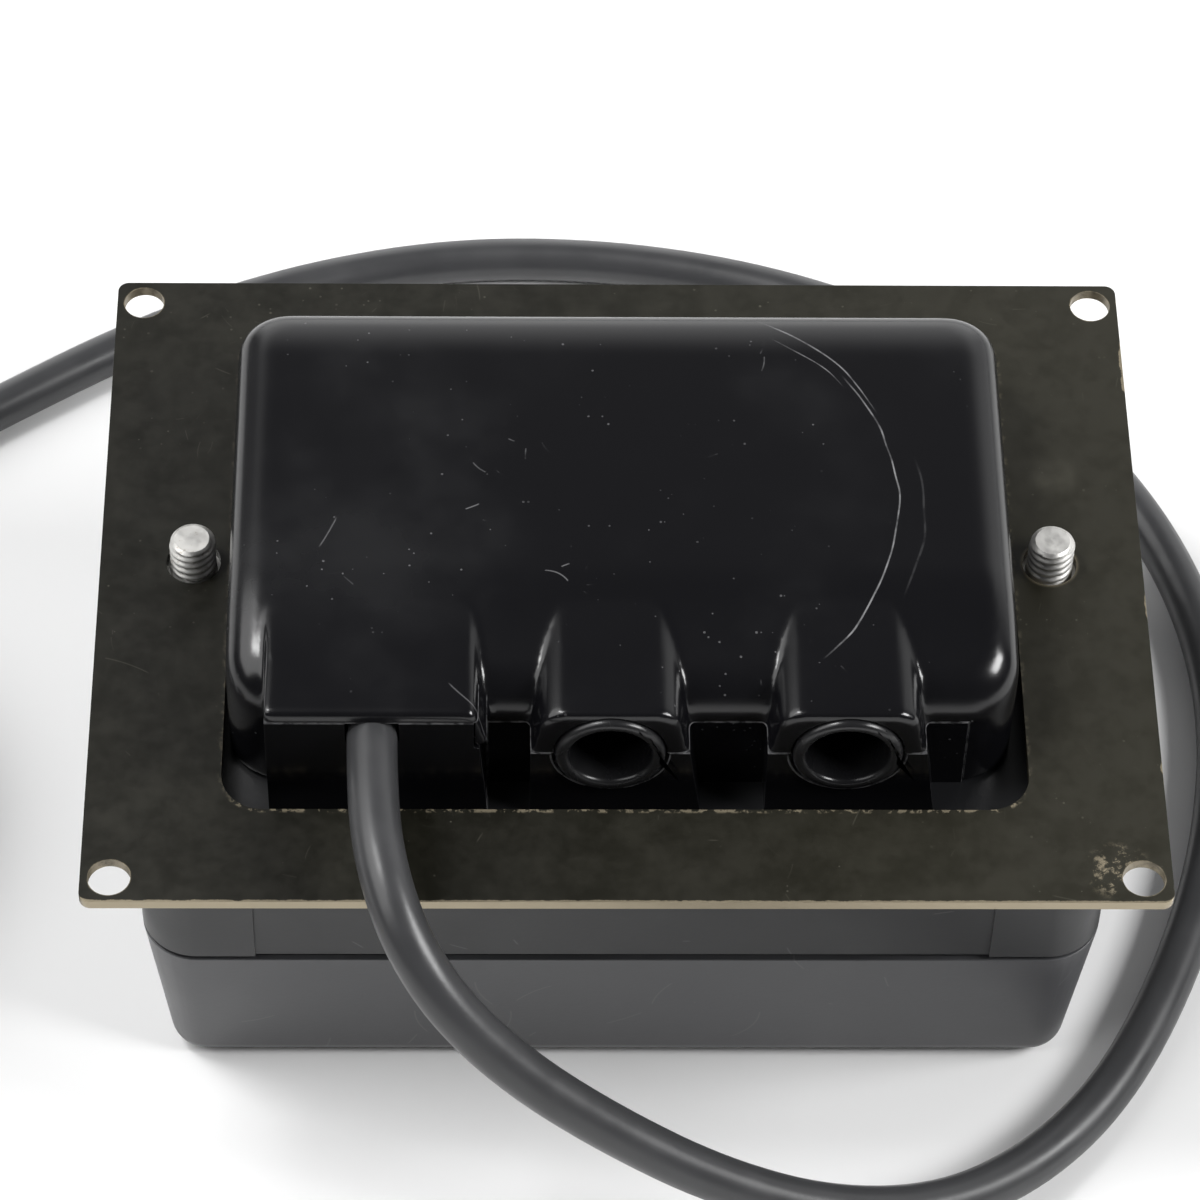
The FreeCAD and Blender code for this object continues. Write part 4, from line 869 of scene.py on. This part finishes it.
def rearCover():
    setup = coverSetup
    low = (setup["left"], setup["front"], setup["bottom"])
    high = (setup["right"], setup["back"], setup["top"])
    cover = domedBlock("coverShell", low, high, setup["corner"], setup["edge"])
    raised = [entrySlab()] + [entryRib(x) for x in setup["saddles"]]
    for piece in raised:
        modify(piece, "REMESH", mode="VOXEL", voxel_size=setup["voxel"] * mm, adaptivity=0.0)
        lowerTop(piece, setup["ribFall"], None, setup["parting"] + 1, setup["ribReach"])
        combine(cover, piece, "UNION")
    modify(cover, "REMESH", mode="VOXEL", voxel_size=setup["voxel"] * mm, adaptivity=0.0)
    modify(cover, "SMOOTH", factor=0.5, iterations=5)
    # hollow, the opening for the lower wall, and the two grommet holes
    wall = setup["wall"]
    hollow = domedBlock("hollow", (low[0] + wall, low[1] + wall, low[2] - 2),
                        (high[0] - wall, high[1] - wall, high[2] - wall),
                        setup["corner"] - wall, setup["edge"] - wall)
    combine(cover, hollow, "DIFFERENCE")
    front, parting = setup["entryFront"], setup["parting"]
    notchLeft, notchRight = setup["notch"]
    slabLeft, slabRight = setup["slab"]
    for name, left, right, top in (("notch", notchLeft, notchRight, parting),
                                   ("well", slabLeft - 0.1, slabRight + 0.1, setup["slabBottom"])):
        opening = block(name, (left, front - 3, setup["bottom"] - 2), (right, setup["front"] + 4, top))
        combine(cover, opening, "DIFFERENCE")
    for x in setup["saddles"]:
        for name, radius, back in (("hole", setup["grommetHole"], setup["front"] + 8),
                                   ("seat", setup["grommetSeat"], front + setup["seatDepth"])):
            tool = drum(name, radius, (x, front - 2, parting), (x, back, parting), 96, "Y")
            combine(cover, tool, "DIFFERENCE")
    smooth(cover, 50)
    paint(cover, finishes["gloss"])
    return standIn(cover, unit, "shell_gloss", "rear_cover")


rearCover()
print("rear cover shaped")


# ---- lower entry wall ----

def entryWall():
    wall = softCopy("entryWall", "entry_block", 0.25)
    paint(wall, finishes["gloss"])
    return standIn(wall, unit, "shell_gloss", "entry_block")


entryWall()


# ---- grommets ----

grommetSetup = {
    "level": 63.2, "front": -35.8, "seatBack": -33.4, "back": -26.95,
    "outer": 7.1, "neck": 6.2, "bore": 5.35, "lipRound": 0.75,
}


def grommetPiece(name, x, node):
    setup = grommetSetup
    level = setup["level"]
    piece = drum(name, setup["outer"], (x, setup["front"], level), (x, setup["seatBack"], level), 96, "Y")
    neck = drum("neck", setup["neck"], (x, setup["seatBack"] - 0.5, level), (x, setup["back"], level),
                96, "Y")
    combine(piece, neck, "UNION")
    bore = drum("bore", setup["bore"], (x, setup["front"] - 2, level), (x, setup["back"] + 2, level), 96, "Y")
    combine(piece, bore, "DIFFERENCE")
    roundEdges(piece, setup["lipRound"], 5, lambda middle, way: abs(middle.y - setup["front"]) < 0.01)
    smooth(piece, 40)
    paint(piece, finishes["grommet"])
    return standIn(piece, unit, "grommet_rubber", node)


grommetPiece("middleGrommet", -2.2, "middle_grommet")
grommetPiece("rightGrommet", 28.3, "right_grommet")
print("cable entries shaped")


# ---- mounting plate ----

def mountingPlate():
    plate = softCopy("mountingPlatePiece", "mounting_plate", 0.18)
    paint(plate, finishes["plate"])
    return standIn(plate, unit, "plate", "mounting_plate")


mountingPlate()


# ---- threaded retaining screws ----

threadSetup = {
    "radius": 3.1, "depth": 0.42, "pitch": 1.27,
    "bottom": 46.0, "top": 60.0, "chamfer": 0.8,
    "y": 2.6, "steps": 72, "rings": 168,
    "crest": 0.16, "root": 0.12,     # flat parts of one tooth, as a share of the pitch
    "slope": 1.1,                    # how steeply the end narrows
}


def threadProfile(share):
    # how far the surface lies under the crest, from the share of one pitch
    setup = threadSetup
    off = abs(share - 0.5) * 2
    flank = (off - setup["crest"]) / (1 - setup["crest"] - setup["root"])
    return setup["depth"] * min(max(flank, 0.0), 1.0)


def threadedRod(name, x):
    setup = threadSetup
    outer, pitch, chamfer = setup["radius"], setup["pitch"], setup["chamfer"]
    rod = drum(name, outer, (x, setup["y"], setup["bottom"]), (x, setup["y"], setup["top"]), setup["steps"])
    selectEdges(rod, lambda middle, way: abs(way.z) > 0.9)
    bpy.ops.mesh.subdivide(number_cuts=setup["rings"])
    bpy.ops.object.mode_set(mode="OBJECT")
    for vertex in rod.data.vertices:
        across, along = vertex.co.x - x * mm, vertex.co.y - setup["y"] * mm
        height = vertex.co.z / mm
        share = (height / pitch - math.atan2(along, across) / math.tau) % 1.0
        radius = outer - threadProfile(share)
        radius = min(radius, outer - chamfer + (setup["top"] - height) * setup["slope"])
        scale = radius / outer
        vertex.co.x = x * mm + across * scale
        vertex.co.y = setup["y"] * mm + along * scale
    rod.data.update()
    return rod


def retainingScrew(side, x, finish):
    # the head comes from the machined screw, the thread is cut new
    setup = threadSetup
    screw = softCopy(side + "ScrewPiece", side + "_screw", 0.15)
    cutter = drum("cutter", setup["radius"] + 0.5, (x, setup["y"], setup["bottom"] + 1.2),
                  (x, setup["y"], setup["top"] + 1))
    combine(screw, cutter, "DIFFERENCE", "EXACT")
    thread = threadedRod("thread", x)
    combine(screw, thread, "UNION", "EXACT")
    smooth(screw, 30)
    paint(screw, finishes[finish])
    return standIn(screw, side + "_screw", "zinc_steel", side + "_screw")


retainingScrew("left", -57.5, "oldScrew")
retainingScrew("right", 57.5, "screw")
print("screws threaded")


# ---- front housing ----

def frontHousing():
    # the tray takes the painted light copy and the band the painted shade copy of the one satin plastic
    for name, node, finish in (("frontTrayPiece", "front_tray", "tray"),
                               ("middleFramePiece", "middle_frame", "band")):
        piece = softCopy(name, node, 0.3)
        paint(piece, finishes[finish])
        standIn(piece, unit, "housing", node)


frontHousing()
print("housing shaped")


# ---- spring of the push button ----


def buttonSpring():
    # a plain copy of the machined spring, with a mesh of its own
    spring = plainCopy("buttonSpringPiece", "button_spring")
    smooth(spring, 50)
    paint(spring, finishes["screw"])
    standIn(spring, unit, "spring_steel", "button_spring")
    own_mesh(spring)


buttonSpring()


# ---- plug ----

plugSetup = {
    "ribs": 6, "ribWidth": 1.6, "ribDeep": 0.9,
    "firstRib": 3.0, "ribPitch": 2.7, "ribReach": 9.0, "tip": 2.0, "taper": 0.35,
}


def plugPieces():
    setup = plugSetup
    body = softCopy("plugBodyPiece", "plug_body", 0.8, 3)
    paint(body, finishes["cord"])
    standIn(body, unit, "cord_rubber", "plug_body")
    low, high = [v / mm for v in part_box("plug_boot")]
    x, z = (low.x + high.x) / 2, (low.z + high.z) / 2
    boot = softCopy("plugBootPiece", "plug_boot", 0.4, 3)
    for index in range(setup["ribs"]):
        y = low.y + setup["firstRib"] + index * setup["ribPitch"]
        wide = setup["ribWidth"]
        inner = setup["tip"] + setup["ribDeep"] + setup["taper"] * (setup["ribs"] - index)
        slot = drum("slot", setup["ribReach"], (x, y, z), (x, y + wide / 2, z), 48, "Y")
        keep = drum("keep", inner, (x, y - 1, z), (x, y + wide, z), 48, "Y")
        combine(slot, keep, "DIFFERENCE")
        combine(boot, slot, "DIFFERENCE", "EXACT")
    smooth(boot, 40)
    paint(boot, finishes["cord"])
    standIn(boot, unit, "cord_rubber", "plug_boot")
    return [body, boot]


onCord = plugPieces()
print("plug shaped")


# ---- machined pieces that keep their shape ----

kept = {
    "seal": ("groove_seal", "plate_gasket"),
    "screw": ("left_screw_washer", "right_screw_washer", "screw_nuts", "tray_screws", "cover_screws",
              "board_screws", "clamp_screws", "terminal_screws"),
    "brass": ("plug_blades", "plug_ground_pin", "fuse_clips"),
    "cord": ("cord_inner",),
    "darkPlastic": ("button_guide", "cord_clamp", "relay_left", "relay_right", "button_switch",
                    "learn_switch", "switch_plunger"),
    "greyPlastic": ("push_button", "learn_button"),
    "board": ("circuit_board",),
    "terminal": ("terminal_block",),
    "wire": ("supply_wires",),
    "chip": ("controller_chip", "radio_receiver"),
    "core": ("transformer_core",),
    "winding": ("transformer_winding",),
    "copper": ("antenna",),
    "sleeve": ("capacitors",),
    "ceramic": ("varistor",),
    "clear": ("light_pipe", "status_light", "fuse"),
}

for finish, names in kept.items():
    for node in names:
        paint(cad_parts[node], finishes[finish])
print("inner pieces finished")


# ---- floor, light and surroundings ----

studio = {
    "floor": (0.88, 0.88, 0.88, 1), "floorCloud": (0.87, 0.87, 0.87, 1),
    "dark": 0.05, "bright": 1.7,
    # name, place, aim, size, power
    "lights": (
        ("leftLight", (-1.0, 0.0, 1.1), (0, 0, 0.05), (1.6, 1.2), 17.0),
        ("rightLight", (0.95, -0.22, 0.85), (0, 0, 0.05), (0.6, 0.4), 15.0),
        ("keyLight", (-0.50, 0.10, 1.15), (0, 0, 0.05), (0.28, 0.28), 5.0),
    ),
}


def softLight(name, where, aim, size, power):
    deselect()
    bpy.ops.object.light_add(type="AREA", location=where)
    light = bpy.context.object
    light.name = name
    light.data.shape = "RECTANGLE"
    light.data.size, light.data.size_y = size
    light.data.energy = power
    light.rotation_euler = (Vector(aim) - Vector(where)).to_track_quat("-Z", "Y").to_euler()


def studioSky():
    # bright low down behind the unit, dark overhead and in front
    world = bpy.data.worlds.new("studio")
    bpy.context.scene.world = world
    world.use_nodes = True
    tree = world.node_tree
    where = addNode(tree, "ShaderNodeTexCoord").outputs["Generated"]
    parts = addNode(tree, "ShaderNodeSeparateXYZ", {0: where}).outputs
    low = ramp(tree, parts[2], 0.46, 0.76, 1.0, 0.0)
    behind = ramp(tree, parts[1], 0.2, 0.7)
    left = ramp(tree, parts[0], -0.62, -0.25, 0.12, 1.0)
    right = ramp(tree, parts[0], 0.25, 0.62, 1.0, 0.55)
    share = calc(tree, "MULTIPLY", calc(tree, "MULTIPLY", low, behind), calc(tree, "MULTIPLY", left, right))
    level = calc(tree, "ADD", calc(tree, "MULTIPLY", share, studio["bright"]), studio["dark"])
    tree.links.new(level, tree.nodes["Background"].inputs["Strength"])
    tree.nodes["Background"].inputs["Color"].default_value = (1, 1, 1, 1)


def studioSetup():
    bpy.context.scene.view_settings.view_transform = "Standard"
    deselect()
    bpy.ops.mesh.primitive_plane_add(size=12, location=(0, 0, -0.0002))
    floor = bpy.context.object
    floor.name = "floor"
    material, tree, shader, where = newMaterial("paleFloor", Roughness=0.75)
    tone = noise(tree, where, 3.0, 2.0)
    feed(tree, shader, Base_Color=blendColor(tree, tone, studio["floor"], studio["floorCloud"]))
    paint(floor, material)
    studioSky()
    for name, where, aim, size, power in studio["lights"]:
        softLight(name, where, aim, size, power)


studioSetup()
print("studio lit")

bpy.context.view_layer.update()
